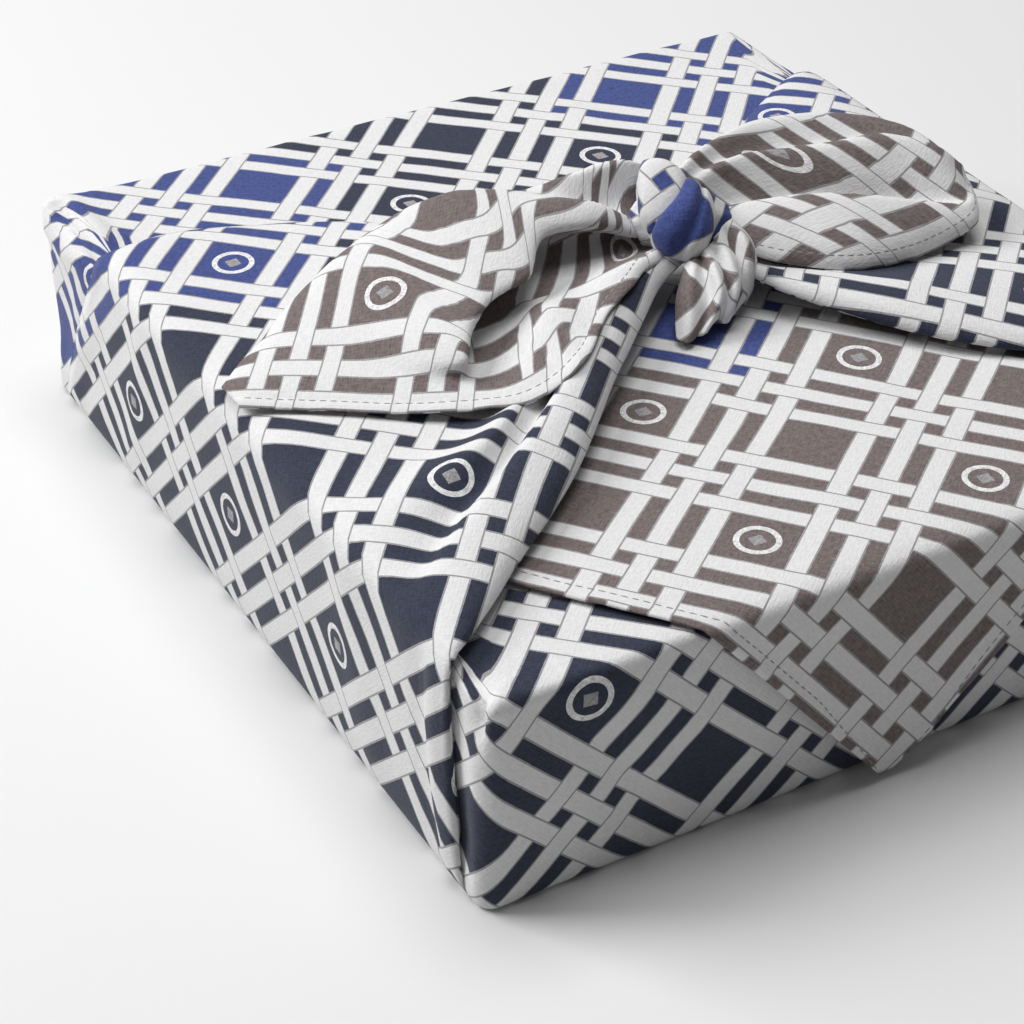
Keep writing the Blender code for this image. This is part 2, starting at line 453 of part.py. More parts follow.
def roll_object(name, roll):
    """A closed roll of gathered cloth along its line."""
    stations = [spline([tuple(facing(row["at"])) + (row["wide"], row["thick"]) for row in roll],
                       index / ROLL_STEPS * (len(roll) - 1)) for index in range(ROLL_STEPS + 1)]
    mesh = bmesh.new()
    rings = []
    across = facing((1, 0, 0)) - facing((0, 0, 0))
    if name == "core":
        across = facing((0, 1, 0)) - facing((0, 0, 0))
    for index, station in enumerate(stations):
        ahead = Vector(stations[min(index + 1, ROLL_STEPS)][:3])
        behind = Vector(stations[max(index - 1, 0)][:3])
        tangent = (ahead - behind).normalized()
        across = (across - tangent * across.dot(tangent)).normalized()
        lift = tangent.cross(across)
        centre = Vector(station[:3])
        made = bmesh.ops.create_circle(mesh, cap_ends=False, segments=ROLL_SIDES, radius=1.0)
        ring = []
        for vert in made["verts"]:
            x, y = vert.co.x, vert.co.y
            vert.co = (centre + across * x * station[3] + lift * y * station[4]) * MM
            ring.append(vert)
        edges = list({edge for vert in ring for edge in vert.link_edges})
        rings.append(edges)
    for first, second in zip(rings, rings[1:]):
        bmesh.ops.bridge_loops(mesh, edges=first + second)
    bmesh.ops.contextual_create(mesh, geom=rings[0])
    bmesh.ops.contextual_create(mesh, geom=rings[-1])
    bmesh.ops.recalc_face_normals(mesh, faces=mesh.faces)
    data = bpy.data.meshes.new(name)
    mesh.to_mesh(data)
    mesh.free()
    data.shade_smooth()
    piece = bpy.data.objects.new(name, data)
    bpy.context.scene.collection.objects.link(piece)
    return piece


def join_to(base, piece):
    """Fuse a piece into the base and keep it only as a guide."""
    union = base.modifiers.new("join " + piece.name, "BOOLEAN")
    union.operation = "UNION"
    union.solver = "MANIFOLD"
    union.object = piece
    piece.hide_render = True
    piece.display_type = "WIRE"


def plain_material(name, colour, roughness):
    """A material of one colour."""
    material = bpy.data.materials.new(name)
    material.use_nodes = True
    shader = material.node_tree.nodes["Principled BSDF"]
    shader.inputs["Base Color"].default_value = (*colour, 1.0)
    shader.inputs["Roughness"].default_value = roughness
    return material


def make_box():
    """The plain closed box inside the cloth."""
    mesh = bmesh.new()
    bmesh.ops.create_cube(mesh, size=1.0)
    foot = CLOTH + BOX_LIFT
    size = Vector((BOX_WIDTH, BOX_LENGTH, BOX_TOP - foot)) * MM
    for vert in mesh.verts:
        vert.co = Vector((vert.co.x * size.x, vert.co.y * size.y, vert.co.z * size.z))
        vert.co.z += (foot + BOX_TOP) / 2 * MM
    bmesh.ops.bevel(mesh, geom=mesh.edges, offset=BOX_ROUNDING * MM, segments=2, profile=0.5, affect="EDGES",
                    material=-1)
    data = bpy.data.meshes.new("gift_box")
    mesh.to_mesh(data)
    mesh.free()
    box = bpy.data.objects.new("gift_box", data)
    bpy.context.scene.collection.objects.link(box)
    box.data.materials.append(plain_material("board", (0.62, 0.55, 0.45), 0.8))
    return box


def make_wrap():
    """The cloth: its tray and four tongues in one sheet, with the knot and the two ends."""
    left = smooth_rows(sections(LEFT_PIECE), 1, PIECE_STEPS)
    right = smooth_rows(sections(RIGHT_PIECE), 1, PIECE_STEPS)
    rings = [ring_row(left, right, ring["height"], ring["inset"]) for ring in WALL_RINGS]
    grids = [rings, first_flap_rows(), second_flap_rows(), side_piece_rows(left), side_piece_rows(right)]
    for piece in (left, right):
        grids.append(under_fold_rows(piece, 0, 1.0))
        grids.append(under_fold_rows(piece, -1, -1.0))
    wrap = cloth_object("furoshiki", grids, -1.0)
    mesh = bmesh.new()
    mesh.from_mesh(wrap.data)
    low = [edge for edge in mesh.edges if edge.is_boundary
           and max(vert.co.z for vert in edge.verts) < FOOT * MM]
    foot = bmesh.ops.contextual_create(mesh, geom=low)["faces"]
    centre = bmesh.ops.poke(mesh, faces=foot)["verts"][0]
    bmesh.ops.recalc_face_normals(mesh, faces=mesh.faces)
    if centre.link_faces[0].normal.z > 0:
        bmesh.ops.reverse_faces(mesh, faces=mesh.faces)
    mesh.to_mesh(wrap.data)
    mesh.free()
    wrap.data.shade_smooth()
    for name, roll in KNOT_ROLLS.items():
        join_to(wrap, roll_object(name, roll))
    for name, table in (("left_end", LEFT_END), ("right_end", RIGHT_END)):
        join_to(wrap, cloth_object(name, [smooth_rows(sections(table), END_STEPS, 1)], 0.0))
    pleats = [[tuple(facing(point)) for point in row.values()] for row in SWAG]
    join_to(wrap, cloth_object("pleats", [smooth_rows(pleats, PLEAT_STEPS, PLEAT_STEPS)], 0.0))
    wrap.data.materials.append(plain_material("printed_cotton", (0.45, 0.47, 0.55), 0.85))
    return wrap


def main():
    for piece in list(bpy.data.objects):
        bpy.data.objects.remove(piece)
    make_box()
    make_wrap()


main()
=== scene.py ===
"""Looks of a furoshiki wrap on a flat gift box, built round the fixed frame of its solids.

X runs along the short side of the box, Y along its long side and Z up. Sizes and tables are in
millimetres where a comment doesn't say metres, and meshes are in metres. The UV map of every piece
of cloth gives its place on the flat cloth, in metres from the middle, along the two hems that meet
at a corner.
"""

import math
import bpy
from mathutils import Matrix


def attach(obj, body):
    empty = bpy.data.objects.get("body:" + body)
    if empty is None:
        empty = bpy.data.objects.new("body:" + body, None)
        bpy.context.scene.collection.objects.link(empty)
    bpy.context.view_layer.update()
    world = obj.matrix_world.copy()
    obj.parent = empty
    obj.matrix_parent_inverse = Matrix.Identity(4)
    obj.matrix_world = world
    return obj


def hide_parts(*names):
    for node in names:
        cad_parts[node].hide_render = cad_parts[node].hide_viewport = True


bl_info = {
    "name": "Furoshiki Wrap",
    "version": (1, 0, 0),
    "blender": (4, 5, 0),
    "location": "3D View > Sidebar > Furoshiki",
    "description": "Builds a printed cotton cloth folded round a flat box and tied on top",
    "category": "Add Mesh",
}

from collections import namedtuple

import bmesh
import bpy
import numpy as np
from bpy.props import FloatProperty, FloatVectorProperty, PointerProperty
from mathutils import Matrix, Vector, noise

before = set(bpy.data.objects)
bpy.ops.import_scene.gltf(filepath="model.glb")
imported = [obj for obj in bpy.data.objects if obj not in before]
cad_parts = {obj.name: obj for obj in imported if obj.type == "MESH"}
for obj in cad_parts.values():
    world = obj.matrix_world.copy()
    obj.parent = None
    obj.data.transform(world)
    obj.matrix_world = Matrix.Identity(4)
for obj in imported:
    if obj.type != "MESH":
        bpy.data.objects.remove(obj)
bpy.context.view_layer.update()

MM = 0.001

# The wrapped parcel, outside the cloth. A ring drawn in from it keeps the least radius at its corners.
PARCEL_WIDTH = 258.0
PARCEL_LENGTH = 280.0
PARCEL_HEIGHT = 66.0
HALF_X = PARCEL_WIDTH / 2
HALF_Y = PARCEL_LENGTH / 2
CORNER_RADIUS = 5.0
LEAST_RADIUS = 1.5
BOTTOM_RADIUS = 2.4
WALL_TOP = 61.2

# The flat cloth: half its diagonal, and how far from its middle the walls end and the tops begin.
HALF_DIAGONAL = 551.5
WALL_END_X = HALF_X + WALL_TOP + BOTTOM_RADIUS
WALL_END_Y = HALF_Y + WALL_TOP + BOTTOM_RADIUS

# Sine and cosine of the angle between the cloth's diagonals and its hems.
SLANT = math.sqrt(0.5)

# Rings round the walls: height, and how far the ring is drawn in from the parcel's outline.
WALL_RINGS = (
    dict(height=0.0, inset=BOTTOM_RADIUS),
    dict(height=0.7, inset=0.7),
    dict(height=BOTTOM_RADIUS, inset=0.0),
    dict(height=22.0, inset=-0.5),
    dict(height=44.0, inset=-0.5),
    dict(height=57.0, inset=-0.1),
    dict(height=WALL_TOP, inset=0.0),
)

# The underside: the height below which a face is part of it, and the breadth of its rim.
FOOT = 0.1
FOOT_RIM = 2.0

# How far the corners' cloth is drawn in and runs on under a side piece, and the height where it is so.
TUCK_STEP = 2.0
TUCK_UNDER = 5.0
TUCK_RISE = 20.0

# The corners' cloth beyond that: how deep it runs in under a side wall before it turns back, how far in
# it settles there, the gap and the lip of the layer that comes back, and the heights where it opens.
POCKET = dict(depth=104.0, columns=6, settle=1.4, gap=0.6, lip=1.2, closed=8.0, opened=18.0)

# Where the folded edges of the side pieces stand on the walls, as Y at the foot and at the top.
NEAR_FOLD = dict(foot=-131.5, top=-124.0)
FAR_FOLD = dict(foot=131.5, top=96.0)

# How far a side wall stands out beside its folded edges, and over what breadth.
PUFF = dict(height=1.5, width=15.0)

# Fineness of the grids: columns of the end walls, the corners' arcs and the cloth beyond them, and
# spacings in millimetres.
FRONT_COLUMNS = 60
ARC_COLUMNS = 6
WEB_COLUMNS = 8
FLAP_SPACING = 2.4
WALL_SPACING = 3.2
PIECE_SPACING = 2.8
END_SPACING = 2.1
HANGING_SPACING = 2.6

# The least step that a curve divides by, and how near to each other points of panels are welded.
LEAST_STEP = 0.001
WELD = 0.04

# Columns of a hem: distances from its edge. The stitches run along the fifth. A hem takes at most a
# share of a narrow row, and its pucker ends at the limit.
HEM_COLUMNS = (0.0, 0.8, 2.0, 3.2, 4.3, 5.2)
STITCH_COLUMN = 4
HEM_WIDTH = HEM_COLUMNS[-1]
HEM_SHARE = 0.42
HEM_LIMIT = 8.0

# The marks of a seam's points are counted from the seam's number times this.
SEAM_ROWS = 1000

# Running stitches of the hems: from one to the next, and the size of each.
STITCH = dict(pitch=2.9, length=2.1, wide=0.42, thick=0.34)

# Sizes and heights of the cloth's unevenness, the height above the underside where it starts, and the
# height over which it grows.
CRUMPLE = dict(small=0.3, small_size=13.0, large=0.5, large_size=42.0,
               offset=Vector((7.3, 1.9, 4.1)), start=1.0, foot=8.0)

# The pucker along the hems, and the height of a hem at each distance from its edge.
PUCKER = dict(size=6.0, height=0.55)
HEM_RELIEF = dict(gap=(0.0, 0.8, 3.2, 4.3, 5.2, 6.5), height=(0.0, 0.3, 0.3, 0.0, -0.05, 0.0))

# The two flaps over the box: the height of each, how far its wall's top edge is drawn in as it turns,
# the Y of its first straight row, and the steps up to that row. Their sides lie a margin inside the
# walls.
FIRST_FLAP = dict(top=64.2, inset=3.0, straight=-108.0, steps=10)
SECOND_FLAP = dict(top=PARCEL_HEIGHT, inset=4.5, straight=84.0, steps=12)
FLAP_MARGIN = 7.0
FLAP_HALF = HALF_X - FLAP_MARGIN

# Steps of a flap as it turns over the top edge of its wall, and how far its ends are drawn under.
EDGE_STEPS = 4
EDGE_DRAW = 9.0

# Y of the first flap's further rows, and where its hidden end begins to narrow.
FIRST_FLAP_ROWS = (-104, -100, -94, -86, -76, -60, -30, 0, 30, 60, 80, 100, 116, 130)
FIRST_FLAP_TAPER = 60.0

# Y of the second flap's next row, and from one row to the next as far as the front edge.
SECOND_FLAP_ROWS = dict(first=80.0, step=4.0)

# The second flap beyond that, as (y, height) of its upper face at each row down to its corner.
HANGING_ROWS = ((-138.0, SECOND_FLAP["top"]), (-141.4, 64.7), (-142.6, 61.4), (-143.0, 50.0),
                (-144.0, 38.0), (-145.4, 26.0), (-146.6, 14.0), (-147.0, 6.0), (-146.6, 2.6))

# The second flap's two hems: X at the front edge, and X moved per millimetre on the top and hanging.
HEM_LEFT = dict(at_edge=-69.0, on_top=-0.78, hanging=0.84)
HEM_RIGHT = dict(at_edge=70.0, on_top=1.22, hanging=-1.27)

# The second flap's weave is turned a little about its hanging corner: the angle, and the length over
# which the turn grows.
FLAP_TURN = dict(angle=0.103, length=230.0)

# The layer that runs back under a folded edge of a side piece: how far in from the wall it starts, how
# far it reaches as a share of the span, its lip and the share of the span that the lip takes at most,
# its columns each way, its least and greatest drop, and the drop of the layer that comes back.
UNDER = dict(start=3.0, reach=0.47, lip=4.0, lip_share=0.12, columns=6, least=0.9, most=1.6, back=0.15)

# Heights of that layer under the left and the right piece, where its drop allows them.
UNDER_HEIGHTS = (66.9, 67.6)

# How that layer turns in from the edge, as shares of its lip and of its drop.
UNDER_TURN = ((0.0, 0.0), (0.08, 0.6), (0.5, 0.9), (1.0, 1.0))

# Where across an end of the cloth its print is laid out from, as a share of its columns.
END_MIDDLE = 0.62

# Side pieces, a row for each section across the parcel. Every pair is (y, z).
LEFT_PIECE = (
    dict(x=-128.6, edge=(-123.6, 64.6), lip=(-121, 65.0), crest=(-112, 65.2), rim=(-101, 65.2),
         valley=(-93, 65.1), ridge=(-72, 65.3), dip=(-50, 65.1), swell=(-12, 65.3), flat=(35, 65.1),
         far_lip=(92, 65.0), far_edge=(95, 64.6)),
    dict(x=-126.8, edge=(-122.8, 67.3), lip=(-120, 68.0), crest=(-111, 68.3), rim=(-101, 68.3),
         valley=(-93, 68.0), ridge=(-71, 68.4), dip=(-50, 68.0), swell=(-12, 68.2), flat=(35, 68.0),
         far_lip=(92, 68.0), far_edge=(95, 67.0)),
    dict(x=-122, edge=(-120.5, 68.2), lip=(-118, 69.4), crest=(-109, 70.4), rim=(-99, 70.4),
         valley=(-92, 69.4), ridge=(-70, 70.3), dip=(-50, 69.4), swell=(-14, 69.8), flat=(35, 69.4),
         far_lip=(91.5, 69.8), far_edge=(95, 68.2)),
    dict(x=-100, edge=(-103, 69.0), lip=(-100, 71.4), crest=(-92, 73.6), rim=(-82, 74.2),
         valley=(-77, 70.6), ridge=(-65, 74.4), dip=(-50, 70.6), swell=(-20, 71.4), flat=(30, 70.2),
         far_lip=(90, 70.6), far_edge=(93.5, 69.4)),
    dict(x=-80, edge=(-88, 70.4), lip=(-85, 73.0), crest=(-78, 75.4), rim=(-69, 76.2),
         valley=(-64.5, 71.6), ridge=(-57, 76.6), dip=(-46, 71.8), swell=(-20, 73.0), flat=(25, 71.4),
         far_lip=(83, 70.4), far_edge=(86.5, 69.1)),
    dict(x=-60, edge=(-71, 72.0), lip=(-68, 74.8), crest=(-61, 77.4), rim=(-53, 78.0),
         valley=(-49, 73.0), ridge=(-42, 75.6), dip=(-34, 72.4), swell=(-14, 73.6), flat=(20, 72.6),
         far_lip=(74, 70.8), far_edge=(77.5, 69.0)),
    dict(x=-40, edge=(-51, 74.0), lip=(-48, 76.8), crest=(-43, 79.0), rim=(-36, 79.4),
         valley=(-33, 75.0), ridge=(-28, 76.2), dip=(-21, 73.8), swell=(-8, 74.6), flat=(16, 74.0),
         far_lip=(56, 72.6), far_edge=(59.5, 70.8)),
    dict(x=-20, edge=(-32, 75.6), lip=(-29, 78.4), crest=(-25, 80.4), rim=(-19.5, 80.8),
         valley=(-17, 77.6), ridge=(-13, 77.6), dip=(-9, 75.8), swell=(-2, 76.2), flat=(10, 76.0),
         far_lip=(33, 75.0), far_edge=(36.5, 73.6)),
    dict(x=0, edge=(-14, 77.6), lip=(-12, 80.2), crest=(-9, 81.4), rim=(-6, 81.2), valley=(-4, 79.6),
         ridge=(-1.5, 79.2), dip=(1.5, 77.8), swell=(5, 77.8), flat=(10, 77.8), far_lip=(18, 77.4),
         far_edge=(20.5, 76.4)),
    dict(x=13, edge=(-8, 79.6), lip=(-6, 80.2), crest=(-4, 80.5), rim=(-2, 80.5), valley=(0, 80.3),
         ridge=(2, 80.0), dip=(4, 79.7), swell=(6, 79.5), flat=(9, 79.2), far_lip=(12, 78.8),
         far_edge=(14, 78.4)),
)
RIGHT_PIECE = (
    dict(x=128.6, edge=(-123.6, 64.6), lip=(-121, 65.0), swell=(-90, 65.2), ridge=(-60, 65.3),
         dip=(-30, 65.1), crest=(0, 65.3), flat=(40, 65.1), far_lip=(92, 65.0), far_edge=(95, 64.6)),
    dict(x=126.8, edge=(-122.8, 67.3), lip=(-120, 68.0), swell=(-90, 68.2), ridge=(-60, 68.4),
         dip=(-30, 68.0), crest=(0, 68.3), flat=(40, 68.1), far_lip=(92, 68.0), far_edge=(95, 67.0)),
    dict(x=122, edge=(-120.5, 68.2), lip=(-117, 69.4), swell=(-88, 69.8), ridge=(-58, 70.2),
         dip=(-30, 69.5), crest=(-2, 70.2), flat=(38, 69.6), far_lip=(91, 69.8), far_edge=(94.4, 68.2)),
    dict(x=100, edge=(-103, 69.6), lip=(-99.5, 71.0), swell=(-75, 72.4), ridge=(-50, 72.2),
         dip=(-28, 70.6), crest=(-4, 71.4), flat=(32, 70.8), far_lip=(78, 70.6), far_edge=(81.5, 69.4)),
    dict(x=80, edge=(-87, 69.6), lip=(-83, 71.8), swell=(-62, 74.4), ridge=(-42, 73.2), dip=(-24, 71.0),
         crest=(-4, 72.0), flat=(26, 71.4), far_lip=(64, 70.5), far_edge=(67.5, 69.1)),
    dict(x=60, edge=(-71, 70.6), lip=(-67, 73.6), swell=(-50, 76.6), ridge=(-33, 74.0), dip=(-19, 71.8),
         crest=(-3, 73.2), flat=(20, 72.6), far_lip=(49, 71.4), far_edge=(52.5, 69.8)),
    dict(x=44, edge=(-52, 72.6), lip=(-49, 75.6), swell=(-37, 77.4), ridge=(-23, 74.8), dip=(-13, 73.4),
         crest=(-1, 74.8), flat=(15, 74.2), far_lip=(35, 73.2), far_edge=(38, 71.8)),
    dict(x=30, edge=(-32, 75.4), lip=(-29, 77.6), swell=(-21, 77.8), ridge=(-13, 76.8), dip=(-6, 76.4),
         crest=(2, 77.2), flat=(11, 77.0), far_lip=(21, 76.4), far_edge=(23.5, 75.0)),
    dict(x=18, edge=(-8, 79.2), lip=(-6, 79.7), swell=(-3.5, 80.0), ridge=(-1, 79.8), dip=(2, 79.6),
         crest=(5, 79.6), flat=(8, 79.4), far_lip=(11, 79.0), far_edge=(13.5, 78.4)),
)

# The two ends of the cloth beyond the knot, a row for each section. Every pair is (y, z).
LEFT_END = (
    dict(x=-127, hem=(-6, 71.6), lobe=(-4.8, 71.8), floor=(-3.6, 72.0), hollow=(-2.4, 72.1),
         tuck=(-1.2, 72.2), rim=(0, 72.2), face=(1.2, 72.2), crest=(2.4, 72.2), dip=(3.6, 72.1),
         back=(4.8, 71.9), under=(6, 71.7)),
    dict(x=-112, hem=(-17, 72.2), lobe=(-13, 73.0), floor=(-9.5, 73.6), hollow=(-6, 74.1),
         tuck=(-2, 74.5), rim=(2, 74.7), face=(7, 74.8), crest=(12, 74.5), dip=(15, 73.8),
         back=(17, 73.0), under=(19, 71.6)),
    dict(x=-92, hem=(-33, 73.6), lobe=(-28, 74.6), floor=(-23, 75.6), hollow=(-18, 76.4),
         tuck=(-12, 77.2), rim=(-5, 78.2), face=(10, 80.2), crest=(26, 80.0), dip=(29.5, 78.4),
         back=(31.5, 76.0), under=(31, 72.4)),
    dict(x=-80, hem=(-40.5, 74.6), lobe=(-36, 75.4), floor=(-32, 76.2), hollow=(-28.5, 76.8),
         tuck=(-26, 78.0), rim=(-22.5, 80.4), face=(9, 84.0), crest=(31, 84.4), dip=(34.5, 82.0),
         back=(36, 78.6), under=(35, 73.0)),
    dict(x=-72, hem=(-44.5, 75.0), lobe=(-40.5, 75.8), floor=(-36.5, 76.2), hollow=(-33, 76.2),
         tuck=(-29.5, 77.2), rim=(-29.5, 82.0), face=(6, 86.4), crest=(33, 87.0), dip=(37, 84.0),
         back=(38.4, 80.0), under=(37, 74.0)),
    dict(x=-64, hem=(-47.6, 75.8), lobe=(-40, 77.0), floor=(-32, 76.6), hollow=(-22, 76.0),
         tuck=(-11, 77.4), rim=(-20, 84.4), face=(6, 88.6), crest=(34.5, 89.8), dip=(38.4, 86.6),
         back=(39.4, 81.6), under=(37.6, 75.0)),
    dict(x=-56, hem=(-48, 77.4), lobe=(-39, 79.0), floor=(-28, 78.2), hollow=(-12, 76.4),
         tuck=(3, 78.8), rim=(-14, 86.6), face=(7, 90.6), crest=(35, 92.2), dip=(38.8, 89.0),
         back=(39.8, 83.0), under=(37.6, 75.6)),
    dict(x=-48, hem=(-46.2, 80.4), lobe=(-36, 80.6), floor=(-22, 80.6), hollow=(-8, 76.8),
         tuck=(8, 79.6), rim=(-10.5, 86.8), face=(7.6, 91.8), crest=(34, 94.0), dip=(37.6, 91.0),
         back=(38.8, 84.8), under=(36.8, 76.2)),
    dict(x=-40, hem=(-41, 81.0), lobe=(-31, 81.8), floor=(-17, 82.6), hollow=(-4, 77.2),
         tuck=(13, 80.6), rim=(-8, 86.8), face=(8, 92.6), crest=(32.5, 95.4), dip=(36, 92.4),
         back=(37.2, 86.0), under=(35.5, 76.8)),
    dict(x=-27, hem=(-28.2, 82.0), lobe=(-22, 82.2), floor=(-14, 82.0), hollow=(0, 77.8),
         tuck=(19, 80.4), rim=(6, 90.0), face=(11, 94.0), crest=(22, 95.4), dip=(29, 94.0),
         back=(34.6, 88.0), under=(32, 78.2)),
    dict(x=-14, hem=(-20, 82.6), lobe=(-17, 83.8), floor=(-12.5, 84.2), hollow=(1, 78.6),
         tuck=(17, 80.6), rim=(4.4, 90.2), face=(8.6, 94.0), crest=(14.4, 94.4), dip=(20, 91.4),
         back=(27.6, 93.4), under=(26, 80.4)),
    dict(x=-6, hem=(-13.4, 82.2), lobe=(-11.6, 83.4), floor=(-9, 83.8), hollow=(2, 79.0),
         tuck=(14, 80.8), rim=(3.4, 87.4), face=(6.6, 91.4), crest=(11.4, 92.2), dip=(17, 88.2),
         back=(25.4, 95.8), under=(25, 82.0)),
    dict(x=0, hem=(-10.5, 81.6), lobe=(-9, 82.8), floor=(-6.5, 83.0), hollow=(1.5, 79.2),
         tuck=(10.5, 80.6), rim=(2.4, 84.0), face=(4.8, 87.6), crest=(9, 88.6), dip=(14.4, 86.0),
         back=(21.6, 98.8), under=(22, 82.0)),
    dict(x=6, hem=(-6.6, 80.6), lobe=(-5.4, 81.2), floor=(-4, 81.4), hollow=(0, 80.2), tuck=(4, 80.8),
         rim=(2.8, 82.4), face=(4.4, 84.0), crest=(8.4, 85.0), dip=(12, 86.8), back=(18, 100.0),
         under=(19, 84.0)),
    dict(x=13, hem=(-4, 80.4), lobe=(-3, 80.8), floor=(-1.8, 81.2), hollow=(-0.4, 81.6), tuck=(1, 82.2),
         rim=(2.4, 83.0), face=(4, 84.0), crest=(6.2, 85.2), dip=(9, 87.4), back=(13, 98.0),
         under=(15, 86.0)),
)
RIGHT_END = (
    dict(x=106, hem=(-18, 80.6), front=(-17, 81.4), fold=(-15.8, 82.4), dip=(-14.6, 83.6),
         middle=(-13.4, 85.0), crest=(-12.2, 86.2), hollow=(-11, 86.4), top=(-9.8, 86.0),
         back=(-8.6, 84.6), under=(-7.4, 82.6)),
    dict(x=99, hem=(-29.5, 77.2), front=(-28.5, 79.4), fold=(-26, 81.8), dip=(-23, 82.0),
         middle=(-17, 86.6), crest=(-9, 92.4), hollow=(-4.5, 91.2), top=(2.5, 92.6), back=(7.5, 87.0),
         under=(8, 79.6)),
    dict(x=86, hem=(-31.5, 74.0), front=(-30, 79.2), fold=(-20.5, 83.8), dip=(-17.4, 80.6),
         middle=(-9.5, 88.4), crest=(1, 95.6), hollow=(5.5, 91.6), top=(16, 95.2), back=(22.5, 87.4),
         under=(22, 77.0)),
    dict(x=70, hem=(-33, 73.6), front=(-31, 79.0), fold=(-14.5, 87.2), dip=(-11.4, 82.2),
         middle=(-4.5, 89.0), crest=(5, 95.2), hollow=(9.5, 91.6), top=(22, 96.8), back=(29.5, 87.4),
         under=(28.6, 76.8)),
    dict(x=54, hem=(-32, 75.0), front=(-29.5, 80.0), fold=(-8, 88.8), dip=(-5, 83.8),
         middle=(0.5, 89.8), crest=(8.5, 95.6), hollow=(12.6, 92.0), top=(23, 97.6), back=(30, 88.4),
         under=(29, 77.4)),
    dict(x=42, hem=(-27, 76.6), front=(-24, 81.0), fold=(-4, 88.4), dip=(-1, 84.6), middle=(3.8, 90.6),
         crest=(9.4, 96.6), hollow=(12.6, 93.8), top=(19.4, 98.6), back=(25, 90.0), under=(24, 79.4)),
    dict(x=30, hem=(-20, 79.4), front=(-16.5, 83.0), fold=(-1, 87.6), dip=(2, 85.6), middle=(5.6, 89.4),
         crest=(8.8, 95.0), hollow=(11, 94.2), top=(15, 98.4), back=(18, 92.0), under=(17, 82.4)),
    dict(x=22, hem=(-10, 82.4), front=(-7, 84.0), fold=(0, 86.0), dip=(2.2, 85.6), middle=(4.6, 87.6),
         crest=(7, 91.4), hollow=(9, 92.6), top=(12, 96.0), back=(14.4, 92.0), under=(14, 85.0)),
    dict(x=14, hem=(-5, 83.4), front=(-3.2, 84.2), fold=(-1.2, 85.2), dip=(0.6, 86.2),
         middle=(2.4, 87.4), crest=(4.2, 88.8), hollow=(6, 90.0), top=(7.8, 91.0), back=(9.6, 90.6),
         under=(11.4, 88.4)),
)

# The direction that the camera looks in, in degrees from X and downwards. The knot faces the camera.
SIGHT = dict(azimuth=60.3, fall=35.2)

# The knot's tables give points as (across, up, out) from its middle, as seen from the camera.
KNOT_MIDDLE = (10.0, 0.0, 88.0)

# The knot's sheets: spacing of the grids, how much of the unevenness they have, and their thickness.
KNOT = dict(spacing=0.9, crumple=0.6, thickness=0.9)

# The roll in the knot: its sides, its stations to a row of its table with their spacing on the flat
# cloth, and its pleats with their depth as a share of its size.
ROLL = dict(sides=40, steps=4, spacing=1.5, pleats=7, depth=0.06)

# The pleats that hang below the knot, a row for each section from the knot to their open end.
PLEATS = (
    dict(left=(5.5, -9, 1), lobe=(7.5, -9.5, 3), cleft=(8.5, -9.5, 2), ridge=(10, -9, 4),
         groove=(11.5, -8, 3), fold=(13.5, -6, 4), hollow=(15, -3, 2), swell=(17, -1, 2),
         right=(18.5, 0, -2)),
    dict(left=(4, -16, 5), lobe=(6.4, -17, 10), cleft=(9.8, -16, 7), ridge=(12.5, -15, 11),
         groove=(14.6, -15, 7.5), fold=(16.8, -13, 9.5), hollow=(18.6, -11, 6), swell=(21, -6.5, 7),
         right=(23.5, -6, 0)),
    dict(left=(2, -23, 9), lobe=(5.5, -25, 14), cleft=(10.8, -23.5, 11), ridge=(13.8, -22, 14.5),
         groove=(16, -21, 10.5), fold=(18.6, -20.5, 12), hollow=(20, -17.5, 7.5), swell=(22.8, -13, 8),
         right=(25, -12.5, 0)),
    dict(left=(1.5, -30, 12.5), lobe=(5, -32, 16.5), cleft=(9.8, -29, 13), ridge=(12, -28.5, 15.5),
         groove=(15, -27.5, 10.5), fold=(17.2, -26.5, 11.5), hollow=(19, -24, 6.5),
         swell=(21.6, -21.5, 5.5), right=(24.2, -19, -1)),
    dict(left=(1.6, -35, 15.2), lobe=(4.2, -36.6, 17.5), cleft=(7.4, -34.2, 14.8),
         ridge=(9.4, -33.6, 15.4), groove=(11.4, -30.4, 9.5), fold=(15.6, -30.2, 10),
         hollow=(17.4, -28, 6.5), swell=(20.2, -24.6, 2), right=(21.8, -24, -2)),
)

# The turn of cloth over the top of the knot, from behind to where it goes under the band.
FACET = (
    dict(left_edge=(-5, 12, -9), left=(-5, 14.5, -6.5), middle=(-0.5, 15, -5.5), right=(4, 11.5, -5),
         right_edge=(6, 9.5, -8)),
    dict(left_edge=(-7.2, 14, -4.5), left=(-6.5, 16.4, -0.5), middle=(-1, 16.4, 1),
         right=(4.6, 12.8, 1), right_edge=(6.4, 10.8, -3)),
    dict(left_edge=(-8.3, 9.8, -3), left=(-7.3, 10.6, 2.2), middle=(-2, 10.4, 4.2), right=(4, 8.8, 4),
         right_edge=(6, 6.8, -1)),
    dict(left_edge=(-8.2, 4.4, -2), left=(-7.2, 4.8, 3.8), middle=(-3, 4.6, 5.6), right=(2, 3.6, 5.2),
         right_edge=(4.4, 1.4, 0)),
    dict(left_edge=(-7.8, -0.4, -1), left=(-6.7, 0, 4.2), middle=(-4, -0.4, 5.6), right=(-1, -0.8, 5.2),
         right_edge=(1.4, -2.8, 1)),
    dict(left_edge=(-5.2, -4.4, -1), left=(-4.8, -4, 2.6), middle=(-4, -4.2, 3.6),
         right=(-3, -4.4, 3.2), right_edge=(-1, -5.6, 0.5)),
)

